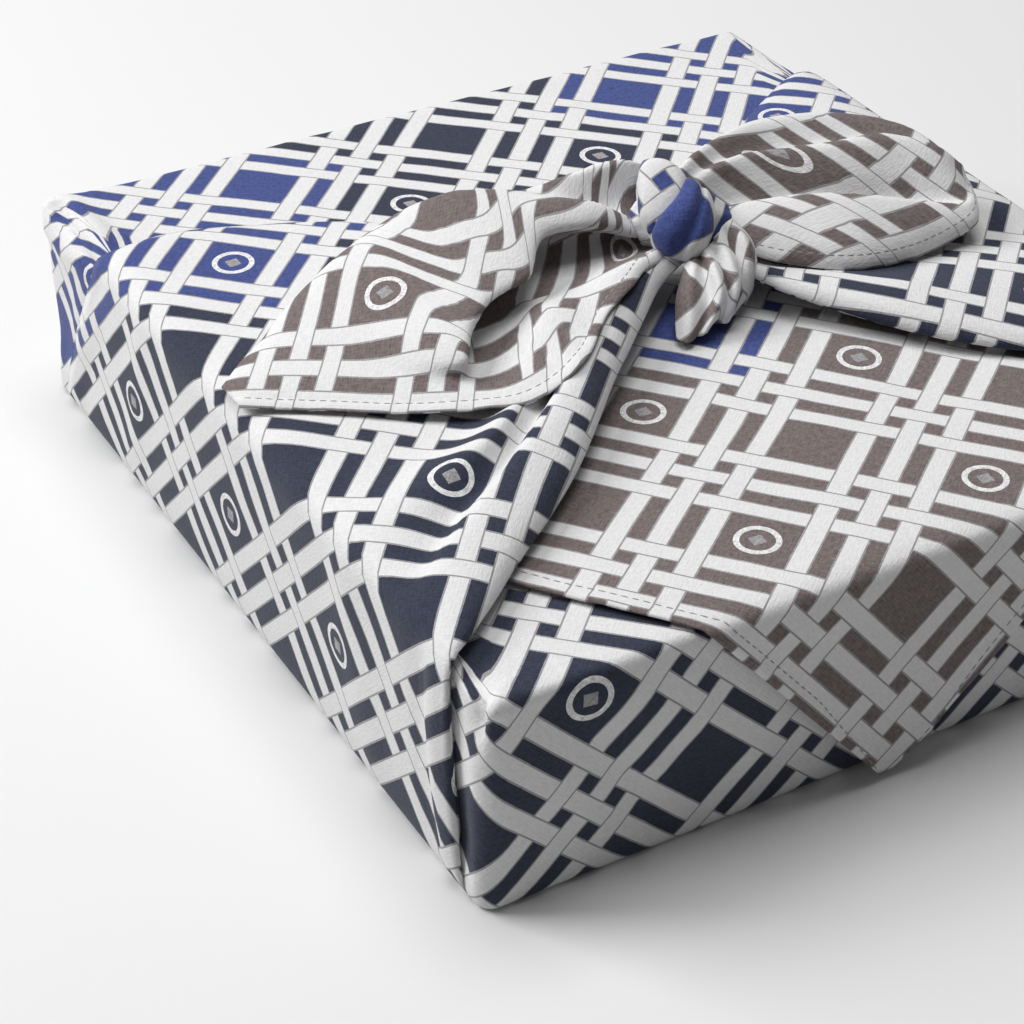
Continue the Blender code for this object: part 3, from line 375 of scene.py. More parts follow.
# The band that crosses the front of the knot, from its upper right to the lip under it.
BAND = (
    dict(left_edge=(4.6, 10, -8), left=(5.6, 11.4, -5), middle=(8, 10.4, -4), crease=(9.2, 9, -4.6),
         ridge=(10, 8.2, -4), right=(11, 6.6, -5.6), right_edge=(10.6, 4.8, -9)),
    dict(left_edge=(3.6, 9.4, -2), left=(5.4, 10.8, 2.6), middle=(8.2, 9.2, 4.4),
         crease=(9.4, 7.8, 2.6), ridge=(10.6, 7.6, 3.4), right=(12.2, 5.6, 0.6),
         right_edge=(11.6, 3.8, -5)),
    dict(left_edge=(1.6, 4, 0.5), left=(3, 5.4, 7), middle=(6.4, 3.4, 8.8), crease=(8.6, 2.2, 6.6),
         ridge=(10.2, 1.8, 7.6), right=(12.8, 0.4, 3), right_edge=(12, -0.8, -4)),
    dict(left_edge=(-3.2, -1.8, 0.5), left=(-1.6, -0.2, 8), middle=(3, -2.6, 10),
         crease=(6.4, -3.6, 7.6), ridge=(8.8, -4, 8.8), right=(11.6, -5.4, 4),
         right_edge=(10.8, -6.2, -3)),
    dict(left_edge=(-4.6, -5.4, -0.5), left=(-3.7, -5, 6.2), middle=(0.4, -6.8, 8.8),
         crease=(4.2, -7.8, 6.8), ridge=(6.6, -8.2, 8.2), right=(9.6, -9, 4.2),
         right_edge=(9, -8.6, -2)),
    dict(left_edge=(-3.2, -8.4, -2.4), left=(-2.6, -9, 2), middle=(0.4, -10.6, 4.8),
         crease=(3, -11.4, 4.2), ridge=(5, -11.8, 4.8), right=(7.4, -11.4, 2.4),
         right_edge=(7.4, -9, -2.4)),
    dict(left_edge=(-1.4, -8, -5), left=(-1.2, -9, -3), middle=(1, -10, -2), crease=(3, -10, -2.4),
         ridge=(4.6, -10, -2), right=(6, -10, -2.6), right_edge=(6.4, -8, -5)),
)

# Where each piece of the knot begins on the flat cloth, along its diagonals: the middle of a sheet's
# first row, and the first point of the roll.
KNOT_STARTS = dict(core=(-330.0, 60.0), facet=(-299.1, 105.7), band=(-328.0, 118.7), pleats=(-440.0, -20.0))

# The cloth drawn together inside the knot, as a closed roll with its half sizes across and through.
CORE = (
    dict(at=(-9, -2, -4), wide=5, thick=4),
    dict(at=(-3, 0, -3), wide=9, thick=6),
    dict(at=(4, 0, -2), wide=11, thick=7),
    dict(at=(10, 0, -5), wide=9, thick=6),
    dict(at=(17, 0, -8), wide=5, thick=4),
)

# The main creases: soft ridges and troughs along lines on the cloth, with their widths and heights.
CREASES = (
    dict(line=((-124.5, -127, 66), (-126.6, -131.8, 65.5), (-127.6, -135.2, 62), (-127.8, -134.8, 56)),
         width=2.3, height=-3.0),
    dict(line=((-128, -139, 59.5), (-125, -139.6, 63.8), (-121, -138.2, 66.5), (-119, -134, 66.6)),
         width=2.5, height=2.1),
    dict(line=((-127, -133.6, 46), (-127.4, -134.6, 24), (-128, -136.5, 6)), width=2.6, height=0.8),
    dict(line=((-129, -117, 60), (-129.2, -120.5, 34), (-129, -125, 8)), width=3.4, height=1.1),
    dict(line=((-129, -108, 60), (-129.2, -112, 34), (-129, -117, 8)), width=4.4, height=-1.0),
    dict(line=((-96, -141, 58), (-70, -141, 40), (-52, -141, 20)), width=7.0, height=0.9),
    dict(line=((-110, -141, 56), (-92, -141, 34), (-82, -141, 12)), width=5.0, height=-0.8),
    dict(line=((-124, 134, 66), (-125.5, 124.7, 65.8), (-127.6, 114, 64.5), (-128, 103, 63)),
         width=2.7, height=-3.4),
    dict(line=((-124.5, 138.5, 64), (-121.5, 133, 66.4), (-120.5, 120, 66.4), (-120.5, 104, 66.4)),
         width=4.0, height=2.2),
    dict(line=((-128, 135, 58), (-128, 126, 56.5), (-128, 113, 58.5)), width=3.6, height=1.8),
    dict(line=((-128.5, 104, 60), (-129.5, 114, 38), (-129, 126, 12)), width=4.0, height=1.2),
    dict(line=((-129, 92, 58), (-129.8, 103, 34), (-129, 114, 12)), width=5.0, height=-1.0),
    dict(line=((-129, 60, 56), (-129.6, 66, 34), (-129, 72, 14)), width=7.0, height=0.9),
    dict(line=((-129, -70, 58), (-129.6, -76, 36), (-129, -84, 14)), width=8.0, height=0.9),
)

# Points of a crease's line to each row of it.
CREASE_STEPS = 4

# A grid of points, their places on the flat cloth, its hemmed edges with the row each begins at, and
# the columns that show; the others lie still under the cloth.
Panel = namedtuple("Panel", "points flat hems shown", defaults=({}, slice(None)))


# Measures, curves and grids of points.


def as_share(value):
    """A value held between nought and one."""
    return min(max(value, 0.0), 1.0)


def eased(share):
    """A share that starts and ends gently."""
    return share * share * (3 - 2 * share)


def side_of(grid):
    """The side of the parcel that a grid of points lies on: minus one is left, and one is right."""
    return math.copysign(1.0, grid[0, 0, 0])


def spread(row):
    """How far along Y each point of a row lies, as a share of the way from its first to its last."""
    return (row[:, 1] - row[0, 1]) / (row[-1, 1] - row[0, 1])


def lengths(line):
    """Length of each step along a line of points."""
    return np.linalg.norm(np.diff(np.asarray(line, float), axis=0), axis=-1)


def distances(line):
    """How far along a line each of its points lies, from its first."""
    return np.concatenate([[0.0], np.cumsum(lengths(line))])


def along(points):
    """Length along each row of a grid of points, from its first column."""
    return np.array([distances(row) for row in points])


def smooth(knots, where):
    """Points at places on smooth curves, one curve for each column of knots; where counts knots."""
    knots = np.asarray(knots, float)
    steps = np.sqrt(np.linalg.norm(np.diff(knots, axis=0), axis=-1, keepdims=True))
    steps = np.maximum(steps, LEAST_STEP)
    chords = np.diff(knots, axis=0) / steps
    slopes = np.concatenate([chords[:1], chords])
    before, after = steps[:-1], steps[1:]
    slopes[1:-1] = (after * chords[:-1] + before * chords[1:]) / (before + after)
    where = np.clip(np.asarray(where, float), 0, len(knots) - 1)
    first = np.minimum(where.astype(int), len(knots) - 2)
    part = (where - first).reshape((-1,) + (1,) * (knots.ndim - 1))
    rise = knots[first + 1] - knots[first]
    leave = slopes[first] * steps[first]
    arrive = slopes[first + 1] * steps[first]
    return knots[first] + part * (leave + part * (3 * rise - 2 * leave - arrive
                                                  + part * (leave + arrive - 2 * rise)))


def smooth_line(knots, where):
    """Points at places on one smooth curve through knots."""
    return smooth(np.asarray(knots, float)[:, None, :], where)[:, 0, :]


def places(knots, spacing, least=2):
    """Places for grid lines about a spacing apart: one on every knot, and a least count of steps between."""
    found = [0.0]
    steps = lengths(knots)
    for index, length in enumerate(steps.reshape(len(steps), -1).max(axis=1)):
        count = max(int(round(length / spacing)), least)
        found += [index + (step + 1) / count for step in range(count)]
    return np.array(found)


def cloth_grid(knots, spacing, least=1):
    """A grid of points through a grid of knots, smooth both ways, with lines about a spacing apart."""
    columns = knots.transpose(1, 0, 2)
    across = smooth(columns, places(columns, spacing, least))
    return smooth(across.transpose(1, 0, 2), places(knots, spacing, least))


def sections(table):
    """The rows of a table of (y, z) pairs as an array of (x, y, z) points."""
    return np.array([[(row["x"],) + tuple(pair) for name, pair in row.items() if name != "x"]
                     for row in table], float)


# The plan of the wrapped box, and the panels of its walls.


def raised(points, height):
    """Plan points lifted to a height."""
    return [(x, y, height) for x, y in points]


def fold_line(fold, height):
    """Where a side piece's folded edge stands at a height, as Y on the wall."""
    return fold["foot"] + as_share(height / WALL_TOP) * (fold["top"] - fold["foot"])


def end_outline(fold_y, height, inset):
    """The front of the parcel's plan from left to right, tucked round both corners to the folds."""
    drawn = min(height / TUCK_RISE, 1.0)
    end_x = HALF_X - TUCK_STEP * drawn - inset
    end_y = HALF_Y - inset
    radius = max(CORNER_RADIUS - inset, LEAST_RADIUS)
    start_y = end_y - radius
    web_y = fold_y - TUCK_UNDER * drawn
    corner = [(end_x, web_y + (start_y - web_y) * step / WEB_COLUMNS) for step in range(WEB_COLUMNS)]
    for index in range(ARC_COLUMNS + 1):
        turn = math.pi / 2 * index / ARC_COLUMNS
        corner.append((end_x - radius + radius * math.cos(turn), start_y + radius * math.sin(turn)))
    flat_x = end_x - radius
    flat = [(-flat_x + 2 * flat_x * index / FRONT_COLUMNS, -end_y) for index in range(1, FRONT_COLUMNS)]
    return [(-x, -y) for x, y in corner] + flat + [(x, -y) for x, y in reversed(corner)]


def front_outline(height, inset):
    """Plan of the front wall and its tucked corners at a height."""
    return end_outline(-fold_line(NEAR_FOLD, height), height, inset)


def back_outline(height, inset):
    """Plan of the back wall and its tucked corners at a height, from right to left."""
    return [(-x, -y) for x, y in end_outline(fold_line(FAR_FOLD, height), height, inset)]


def wall_heights():
    """Heights of the rings round the walls with their insets."""
    knots = np.array([[row["height"], row["inset"]] for row in WALL_RINGS])
    return smooth_line(knots, places(knots, WALL_SPACING))


def side_outline(piece, height, inset):
    """Plan of a side piece on its wall, its columns spread as they are at the top edge."""
    side = side_of(piece)
    near, far = fold_line(NEAR_FOLD, height), fold_line(FAR_FOLD, height)
    rise = height / WALL_TOP
    plan = []
    for share in spread(piece[0]):
        y = near + (far - near) * share
        puff = math.sin(math.pi * min((y - near) / PUFF["width"], (far - y) / PUFF["width"], 1.0))
        plan.append((side * (HALF_X - inset + PUFF["height"] * puff * 4 * rise * (1 - rise)), y))
    return plan


def end_wall_panels():
    """The front and back walls, with the cloth that runs round their corners under the side pieces."""
    made = []
    for outline, side in ((front_outline, -1), (back_outline, 1)):
        rows, flat = [], []
        for height, inset in wall_heights():
            points = outline(height, inset)
            rows.append(raised(points, height))
            reach = HALF_Y + height + BOTTOM_RADIUS - inset
            run = distances(points)
            flat.append([(-side * x, side * reach) for x in run - run[-1] / 2])
        made.append(Panel(np.array(rows), np.array(flat)))
    return made


def pocket(tuck, fold, height, inward):
    """Plan of the cloth that runs on from a tuck, in under a side wall and back to its folded edge."""
    tuck_x, tuck_y = tuck
    out = math.copysign(1.0, tuck_x)
    end_y = tuck_y + inward * POCKET["depth"]
    low_x = tuck_x - out * POCKET["settle"]
    back_x = low_x + out * POCKET["gap"]
    shares = np.linspace(0.0, 1.0, POCKET["columns"])[1:]
    plan = [tuck] + [(low_x, tuck_y + (end_y - tuck_y) * share) for share in shares]
    plan += [(back_x, fold[1] + (end_y - fold[1]) * share) for share in shares[::-1]]
    plan += [(tuck_x + out * POCKET["gap"], fold[1] + inward * POCKET["lip"])]
    part = as_share((height - POCKET["closed"]) / (POCKET["opened"] - POCKET["closed"]))
    return [(tuck_x + (x - tuck_x) * part, tuck_y + (y - tuck_y) * part) for x, y in plan]


def side_wall_panel(piece):
    """A side wall, from the tucked cloth at the front corner round both its folded edges to the back."""
    side = side_of(piece)
    rows, flat = [], []
    for height, inset in wall_heights():
        front, back = front_outline(height, inset), back_outline(height, inset)
        ends = (front[-1], back[0]) if side > 0 else (front[0], back[-1])
        plan = side_outline(piece, height, inset)
        before = pocket(ends[0], plan[0], height, 1.0)
        after = pocket(ends[1], plan[-1], height, -1.0)[::-1]
        spots = list(plan[0][1] - np.cumsum(lengths(before + plan[:1])[::-1])[::-1])
        spots += [y for x, y in plan]
        spots += list(plan[-1][1] + np.cumsum(lengths(plan[-1:] + after)))
        rows.append(raised(before + plan + after, height))
        reach = HALF_X + height + BOTTOM_RADIUS - inset
        flat.append([(side * reach, y) for y in spots])
    return Panel(np.array(rows), np.array(flat), shown=slice(len(before), -len(after)))


# The two flaps over the box.


def drawn_under(row, reach):
    """A row of a flap whose two ends reach further round, under the folded edges of the side pieces."""
    row = list(row)
    for step in range(WEB_COLUMNS):
        further = reach * (1 - step / WEB_COLUMNS)
        for index in (step, len(row) - 1 - step):
            x, y, z = row[index]
            row[index] = (x, y + further, z)
    return row


def flap_row(start_x, end_x, y, height):
    """A straight row of a flap, with as many columns as an outline has, close together at its hems."""
    # A hem crosses the rows aslant, so its columns lie further apart along a row.
    slant = math.sqrt(2.0)
    beside = WEB_COLUMNS + ARC_COLUMNS - len(HEM_COLUMNS) + 1
    hem = [slant * distance for distance in HEM_COLUMNS]
    hem += [hem[-1] + FLAP_SPACING * (step + 1) for step in range(beside)]
    span = end_x - start_x
    squeeze = math.copysign(min(1.0, abs(span) * HEM_SHARE / hem[-1]), span)
    hem = [squeeze * distance for distance in hem]
    start, stop = start_x + hem[-1], end_x - hem[-1]
    middle = [start + (stop - start) * step / FRONT_COLUMNS for step in range(1, FRONT_COLUMNS)]
    columns = [start_x + distance for distance in hem] + middle
    columns += [end_x - distance for distance in hem[::-1]]
    return [(x, y, height) for x in columns]


def flap_start(outline, side, flap):
    """Rows of a flap that turn over its wall's top edge, and on to its first straight one."""
    rows = []
    for step in range(EDGE_STEPS + 1):
        turn = math.pi / 2 * step / EDGE_STEPS
        height = WALL_TOP + (flap["top"] - WALL_TOP) * math.sin(turn)
        row = raised(outline(WALL_TOP, flap["inset"] * (1 - math.cos(turn))), height)
        rows.append(drawn_under(row, -side * EDGE_DRAW * math.sin(turn)))
    last = np.array(flap_row(side * FLAP_HALF, -side * FLAP_HALF, flap["straight"], flap["top"]))
    first = np.array(rows[-1])
    rows += [first + (last - first) * step / flap["steps"] for step in range(1, flap["steps"])]
    return rows + [last]


def flap_flat(points, side, flap):
    """Where a flap lies on the flat cloth; its rows before the first straight one turn over the edge."""
    run = along(points.transpose(1, 0, 2)).T
    share = np.clip(np.arange(len(points)) / (EDGE_STEPS + flap["steps"]), 0.0, 1.0)[:, None]
    around = along(points)
    around = -side * (around - around[:, -1:] / 2)
    middle = run[:, points.shape[1] // 2][:, None]
    flat_x = (1 - share) * around + share * points[:, :, 0]
    column = np.arange(points.shape[1])
    corner = WEB_COLUMNS + ARC_COLUMNS - np.minimum(column, column[::-1])
    own = (1 - share) * np.clip(corner / ARC_COLUMNS, 0.0, 1.0)
    return flat_x, WALL_END_Y + own * run + (1 - own) * middle, middle


def first_flap_panel():
    """The first flap, from the top of the front wall over the box to its blunt hidden end."""
    rows = flap_start(front_outline, -1, FIRST_FLAP)
    for y in FIRST_FLAP_ROWS:
        half = FLAP_HALF - max(y - FIRST_FLAP_TAPER, 0.0)
        rows.append(flap_row(-half, half, y, FIRST_FLAP["top"]))
    points = np.array(rows)
    flat_x, flat_y = flap_flat(points, -1, FIRST_FLAP)[:2]
    return Panel(points, np.stack([flat_x, -flat_y], -1))


def hem_x(hem, y, drop):
    """X of a hem of the second flap at a place on the top, or hanging by a drop below the edge."""
    return hem["at_edge"] + hem["on_top"] * (y + HALF_Y) * (drop == 0) + hem["hanging"] * drop


def second_flap_rows():
    """Rows of the second flap, and its hems with the row where each comes out from under a side."""
    top = SECOND_FLAP["top"]
    rows, hems = flap_start(back_outline, 1, SECOND_FLAP), {}
    for y in np.arange(SECOND_FLAP_ROWS["first"], HANGING_ROWS[0][0], -SECOND_FLAP_ROWS["step"]):
        left_x, right_x = hem_x(HEM_LEFT, y, 0.0), hem_x(HEM_RIGHT, y, 0.0)
        if right_x < FLAP_HALF:
            hems.setdefault(0, len(rows))
        if left_x > -FLAP_HALF:
            hems.setdefault(-1, len(rows))
        rows.append(flap_row(min(right_x, FLAP_HALF), max(left_x, -FLAP_HALF), y, top))
    for y, height in smooth_line(HANGING_ROWS, places(HANGING_ROWS, HANGING_SPACING))[1:]:
        drop = top - height
        rows.append(flap_row(hem_x(HEM_RIGHT, y, drop), hem_x(HEM_LEFT, y, drop), y, height))
    return rows, hems


def second_flap_panel():
    """The second flap, from the top of the back wall over the box and down to its hanging corner."""
    rows, hems = second_flap_rows()
    points = np.array(rows)
    flat_x, flat_y, run = flap_flat(points, 1, SECOND_FLAP)
    across, back = points[:, :, 0] - points[-1, points.shape[1] // 2, 0], run - run[-1]
    turned_x = math.cos(FLAP_TURN["angle"]) * across + math.sin(FLAP_TURN["angle"]) * back
    turned_y = math.cos(FLAP_TURN["angle"]) * back - math.sin(FLAP_TURN["angle"]) * across
    share = eased(np.clip(run / FLAP_TURN["length"], 0, 1))
    flat_x = flat_x * (1 - share) + turned_x * share
    flat_y = flat_y * (1 - share) + (HALF_DIAGONAL + turned_y) * share
    return Panel(points, np.stack([flat_x, flat_y], -1), hems)


# The side pieces, and the cloth that turns back under their folded edges.


def side_piece_grid(table):
    """A side piece as a grid of points, from the top edge of its wall to the knot."""
    knots = sections(table)
    side = side_of(knots)
    near, far = NEAR_FOLD["top"], FAR_FOLD["top"]
    foot = [(side * HALF_X, near + (far - near) * share, WALL_TOP) for share in spread(knots[0])]
    return cloth_grid(np.concatenate([[foot], knots]), PIECE_SPACING)


def side_piece_panel(piece):
    """A side piece from the top of its wall to the knot, with its weave laid from its middle column."""
    middle = piece.shape[1] // 2
    run = along(piece.transpose(1, 0, 2))[middle]
    across = along(piece)
    across = across - across[:, middle:middle + 1] + piece[:, middle, 1][:, None]
    flat_x = np.broadcast_to(side_of(piece) * (WALL_END_X + run)[:, None], across.shape)
    return Panel(piece, np.stack([flat_x, across], -1))


def returned_panel(panel, edge, height):
    """The cloth that runs back under a side piece's folded edge, which is its first or last column."""
    inward = 1.0 if edge == 0 else -1.0
    shares = np.arange(1, UNDER["columns"] + 1) / UNDER["columns"]
    start = int(np.argmax(np.abs(panel.points[:, 0, 0]) < HALF_X - UNDER["start"]))
    points, flat = [], []
    for row, spots in zip(panel.points[start:], panel.flat[start:]):
        x, y, z = row[edge]
        span = abs(row[-1, 1] - row[0, 1])
        reach = UNDER["reach"] * span
        lip = min(UNDER["lip"], span * UNDER["lip_share"])
        floor = min(max(height, z - UNDER["most"]), z - UNDER["least"])
        line = [(x, y + inward * lip * part, z + (floor - z) * drop) for part, drop in UNDER_TURN]
        line += [(x, y + inward * (lip + (reach - lip) * share), floor) for share in shares]
        line += [(x, y + inward * (reach - (reach - lip) * share), floor - UNDER["back"])
                 for share in shares]
        points.append(line)
        flat.append([(spots[edge][0], spots[edge][1] - inward * length) for length in distances(line)])
    return Panel(np.array(points), np.array(flat), shown=slice(2))


# The two ends of the cloth, and every panel of it.


def hemmed(points):
    """Rows of points spaced again along their length, with the columns of a hem at their first edge."""
    hem = np.array(HEM_COLUMNS)
    made = []
    for row, run in zip(points, along(points)):
        squeeze = min(1.0, HEM_SHARE * run[-1] / HEM_WIDTH)
        inner = np.linspace(HEM_WIDTH * squeeze, run[-1], points.shape[1] - len(hem) + 1)
        spots = np.concatenate([hem[:-1] * squeeze, inner])
        made.append(np.stack([np.interp(spots, run, row[:, axis]) for axis in range(3)], -1))
    return np.array(made)


def end_flat(points):
    """Where an end lies on the flat cloth, laid out from one column so that its print keeps its scale."""
    middle = round(END_MIDDLE * (points.shape[1] - 1))
    across = along(points)
    width = np.maximum.accumulate(across[:, middle])
    wider = np.diff(width)
    steps = lengths(points[:, middle])
    further = (wider + np.sqrt(np.maximum(2 * steps ** 2 - wider ** 2, 0.0))) / 2
    reach = np.concatenate([[0.0], np.cumsum(further)])[:, None]
    flat_y = across - across[:, middle:middle + 1] + width[:, None] - reach
    flat_x = np.broadcast_to(side_of(points) * (HALF_DIAGONAL - reach), across.shape)
    return np.stack([flat_x, flat_y], -1)


def end_panel(table):
    """An end of the cloth, from its table of sections; its tip is the first row."""
    points = hemmed(cloth_grid(sections(table), END_SPACING))
    return Panel(points, end_flat(points), {0: 0})


def wrap_panels():
    """Every panel of the folded cloth: walls, flaps, side pieces and ends."""
    pieces = [side_piece_grid(table) for table in (LEFT_PIECE, RIGHT_PIECE)]
    panels = end_wall_panels() + [side_wall_panel(piece) for piece in pieces]
    panels += [first_flap_panel(), second_flap_panel()]
    for piece, height in zip(pieces, UNDER_HEIGHTS):
        top = side_piece_panel(piece)
        panels += [top] + [returned_panel(top, edge, height) for edge in (0, -1)]
    return panels + [end_panel(LEFT_END), end_panel(RIGHT_END)]


# Meshes laid through the panels, and what is done to them.


def on_hems(px, py):
    """A place given along the flat cloth's diagonals, as one along its two hems."""
    return (px + py) * SLANT, (py - px) * SLANT


def hem_marks(panel, number):
    """How far each point of a panel lies from a hem, and its mark if it is on a seam, or nought."""
    rows, columns = panel.points.shape[:2]
    run = along(panel.points)
    gap, seam = np.full(run.shape, HEM_LIMIT), np.zeros(run.shape, int)
    for edge, first in panel.hems.items():
        away = run if edge == 0 else run[:, -1:] - run
        gap[first:] = np.minimum(gap, away)[first:]
        line = STITCH_COLUMN if edge == 0 else columns - 1 - STITCH_COLUMN
        seam[first:, line] = (2 * number + (edge == 0)) * SEAM_ROWS + np.arange(first, rows) + 1
    return gap, seam


def lay_panel(mesh, panel, number=0):
    """Lay a grid of faces through a panel's points, with its place on the flat cloth as UVs."""
    rows, columns = panel.points.shape[:2]
    # The grid is a unit square round the origin, where a vertex's place gives its row and column.
    made = bmesh.ops.create_grid(mesh, x_segments=columns - 1, y_segments=rows - 1, size=0.5)
    spots = {}
    for vert in made["verts"]:
        spots[vert] = (round((vert.co.y + 0.5) * (rows - 1)), round((vert.co.x + 0.5) * (columns - 1)))
    sheet_map = mesh.loops.layers.uv.verify()
    u, v = on_hems(panel.flat[:, :, 0], panel.flat[:, :, 1])
    for face in {face for vert in spots for face in vert.link_faces}:
        for loop in face.loops:
            spot = spots[loop.vert]
            loop[sheet_map].uv = (u[spot] * MM, v[spot] * MM)
    hem_layer, shown_layer = mesh.verts.layers.float["hem"], mesh.verts.layers.float["shown"]
    seam_layer = mesh.verts.layers.int["seam"]
    gap, seam = hem_marks(panel, number)
    shown = np.zeros(gap.shape)
    shown[:, panel.shown] = 1.0
    for vert, spot in spots.items():
        vert.co = Vector(panel.points[spot]) * MM
        vert[shown_layer] = shown[spot]
        vert[hem_layer] = gap[spot]
        vert[seam_layer] = int(seam[spot])


def press(mesh):
    """Lay soft ridges and troughs along the main creases, square to the cloth."""
    mesh.normal_update()
    spots = np.array([vert.co for vert in mesh.verts]) / MM
    push = np.zeros(len(spots))
    for crease in CREASES:
        count = len(crease["line"])
        line = smooth_line(crease["line"], np.linspace(0, count - 1, CREASE_STEPS * count))
        away = np.full(len(spots), np.inf)
        for start, stop in zip(line, line[1:]):
            step = stop - start
            part = np.clip((spots - start) @ step / (step @ step), 0.0, 1.0)
            away = np.minimum(away, np.linalg.norm(spots - start - part[:, None] * step, axis=1))
        push += crease["height"] * np.exp(-(away / crease["width"]) ** 2)
    shown_layer = mesh.verts.layers.float["shown"]
    for vert, move in zip(mesh.verts, push):
        fade = vert[shown_layer] * min(vert.co.z / CRUMPLE["foot"] / MM, 1.0)
        vert.co += vert.normal * float(move) * fade * MM


def crumple(mesh, amount):
    """Push a cloth in and out a little along its normals, less towards its foot, and pucker its hems."""
    hem_layer, shown_layer = mesh.verts.layers.float["hem"], mesh.verts.layers.float["shown"]
    mesh.normal_update()
    moves = []
    for vert in mesh.verts:
        spot = vert.co / MM
        small = noise.noise(spot / CRUMPLE["small_size"] + CRUMPLE["offset"])
        large = noise.noise(spot / CRUMPLE["large_size"])
        push = CRUMPLE["small"] * small + CRUMPLE["large"] * large
        fade = as_share((spot.z - CRUMPLE["start"]) / CRUMPLE["foot"]) * amount * vert[shown_layer]
        gap = vert[hem_layer]
        if gap < HEM_LIMIT:
            pucker = noise.noise(spot / PUCKER["size"] + CRUMPLE["offset"])
            push += PUCKER["height"] * pucker * (1.0 - gap / HEM_LIMIT)
            push += np.interp(gap, HEM_RELIEF["gap"], HEM_RELIEF["height"])
        moves.append(vert.normal * push * fade * MM)
    for vert, move in zip(mesh.verts, moves):
        vert.co += move


def finished(name, mesh, material):
    """A smooth object in the scene from a bmesh, with a material."""
    data = bpy.data.meshes.new(name)
    mesh.to_mesh(data)
    mesh.free()
    data.shade_smooth()
    data.materials.append(material)
    piece = bpy.data.objects.new(name, data)
    bpy.context.scene.collection.objects.link(piece)
    return piece


def new_cloth():
    """An empty bmesh with the layers every piece of cloth carries."""
    mesh = bmesh.new()
    mesh.loops.layers.uv.new("flat_cloth")
    mesh.verts.layers.float.new("hem")
    mesh.verts.layers.float.new("shown")
    mesh.verts.layers.int.new("seam")
    return mesh


def seam_lines(mesh):
    """The seams of the hems, as lines of places and normals on the finished cloth."""
    mesh.normal_update()
    seam_layer = mesh.verts.layers.int["seam"]
    lines = {}
    for vert in sorted((vert for vert in mesh.verts if vert[seam_layer]), key=lambda vert: vert[seam_layer]):
        lines.setdefault(vert[seam_layer] // SEAM_ROWS, []).append((*vert.co, *vert.normal))
    return [np.array(line) for line in lines.values()]


def build_stitches(seams, material, look):
    """Running stitches along the hems, a dash on each face of the cloth."""
    mesh = bmesh.new()
    for seam in seams:
        run = distances(seam[:, :3]) / MM
        for start in np.arange(STITCH["pitch"], run[-1] - STITCH["pitch"], STITCH["pitch"]):
            spots = start, start + STITCH["length"], start + STITCH["length"] / 2
            here, there, middle = [np.array([np.interp(spot, run, column) for column in seam.T])
                                   for spot in spots]
            ahead = Vector(there[:3] - here[:3]) / 2
            normal = Vector(middle[3:]).normalized()
            across = normal.cross(ahead).normalized() * STITCH["wide"] / 2 * MM
            rise = across.cross(ahead).normalized() * STITCH["thick"] / 2 * MM
            for lift in (0.0, -look.thickness):
                place = Matrix.Translation(Vector(middle[:3]) + normal * lift)
                shape = Matrix((ahead, across, rise)).transposed().to_4x4()
                bmesh.ops.create_icosphere(mesh, subdivisions=2, radius=1.0, matrix=place @ shape)
    return finished("hem_stitches", mesh, material)


def thicken(piece, thickness, offset):
    """Give a sheet of cloth its thickness."""
    solid = piece.modifiers.new("thickness", "SOLIDIFY")
    solid.thickness = thickness
    solid.offset = offset


# The folded cloth.


def in_foot(part):
    """Whether an edge or a face lies in the underside."""
    return max(vert.co.z for vert in part.verts) < FOOT * MM


def close_foot(mesh):
    """Close the underside of the folded cloth, face every face outwards, and lay the underside's UVs."""
    low = [edge for edge in mesh.edges if edge.is_boundary and in_foot(edge)]
    foot = bmesh.ops.contextual_create(mesh, geom=low)["faces"]
    bmesh.ops.inset_region(mesh, faces=foot, thickness=FOOT_RIM * MM, depth=0.0)
    bmesh.ops.poke(mesh, faces=foot)
    bmesh.ops.recalc_face_normals(mesh, faces=mesh.faces)
    sheet_map = mesh.loops.layers.uv.verify()
    for face in filter(in_foot, mesh.faces):
        for loop in face.loops:
            loop[sheet_map].uv = on_hems(loop.vert.co.x, loop.vert.co.y)


def build_wrap(material, look):
    """The folded cloth: bottom, walls, two flaps and two side pieces in one welded sheet."""
    mesh = new_cloth()
    for number, panel in enumerate(wrap_panels()):
        lay_panel(mesh, panel, number)
    bmesh.ops.remove_doubles(mesh, verts=mesh.verts, dist=WELD * MM)
    close_foot(mesh)
    press(mesh)
    crumple(mesh, amount=1.0)
    seams = seam_lines(mesh)
    wrap = finished("furoshiki_cloth", mesh, material)
    thicken(wrap, look.thickness, offset=-1.0)
    return wrap, seams


# The knot.


def sight():
    """The direction that the camera looks in."""
    turn, fall = math.radians(SIGHT["azimuth"]), math.radians(SIGHT["fall"])
    return np.array((math.cos(turn) * math.cos(fall), math.sin(turn) * math.cos(fall), -math.sin(fall)))


def facing(points):
    """Points of the knot, given as (across, up, out) from its middle, in the parcel's frame."""
    turn = math.radians(SIGHT["azimuth"])
    across, out = np.array((math.sin(turn), -math.cos(turn), 0.0)), -sight()
    return np.asarray(points, float) @ np.array((across, np.cross(out, across), out)) + KNOT_MIDDLE


def knot_panel(table, start):
    """A sheet of the knot from its table; start is where the middle of its first row lies flat."""
    knots = facing([list(row.values()) for row in table])
    points = cloth_grid(knots, KNOT["spacing"], least=2)
    run = along(points.transpose(1, 0, 2))[points.shape[1] // 2]
    across = along(points)
    across = across - across[:, -1:] / 2
    flat_y = start[1] - np.broadcast_to(run[:, None], across.shape)
    return Panel(points, np.stack([start[0] + across, flat_y], -1))


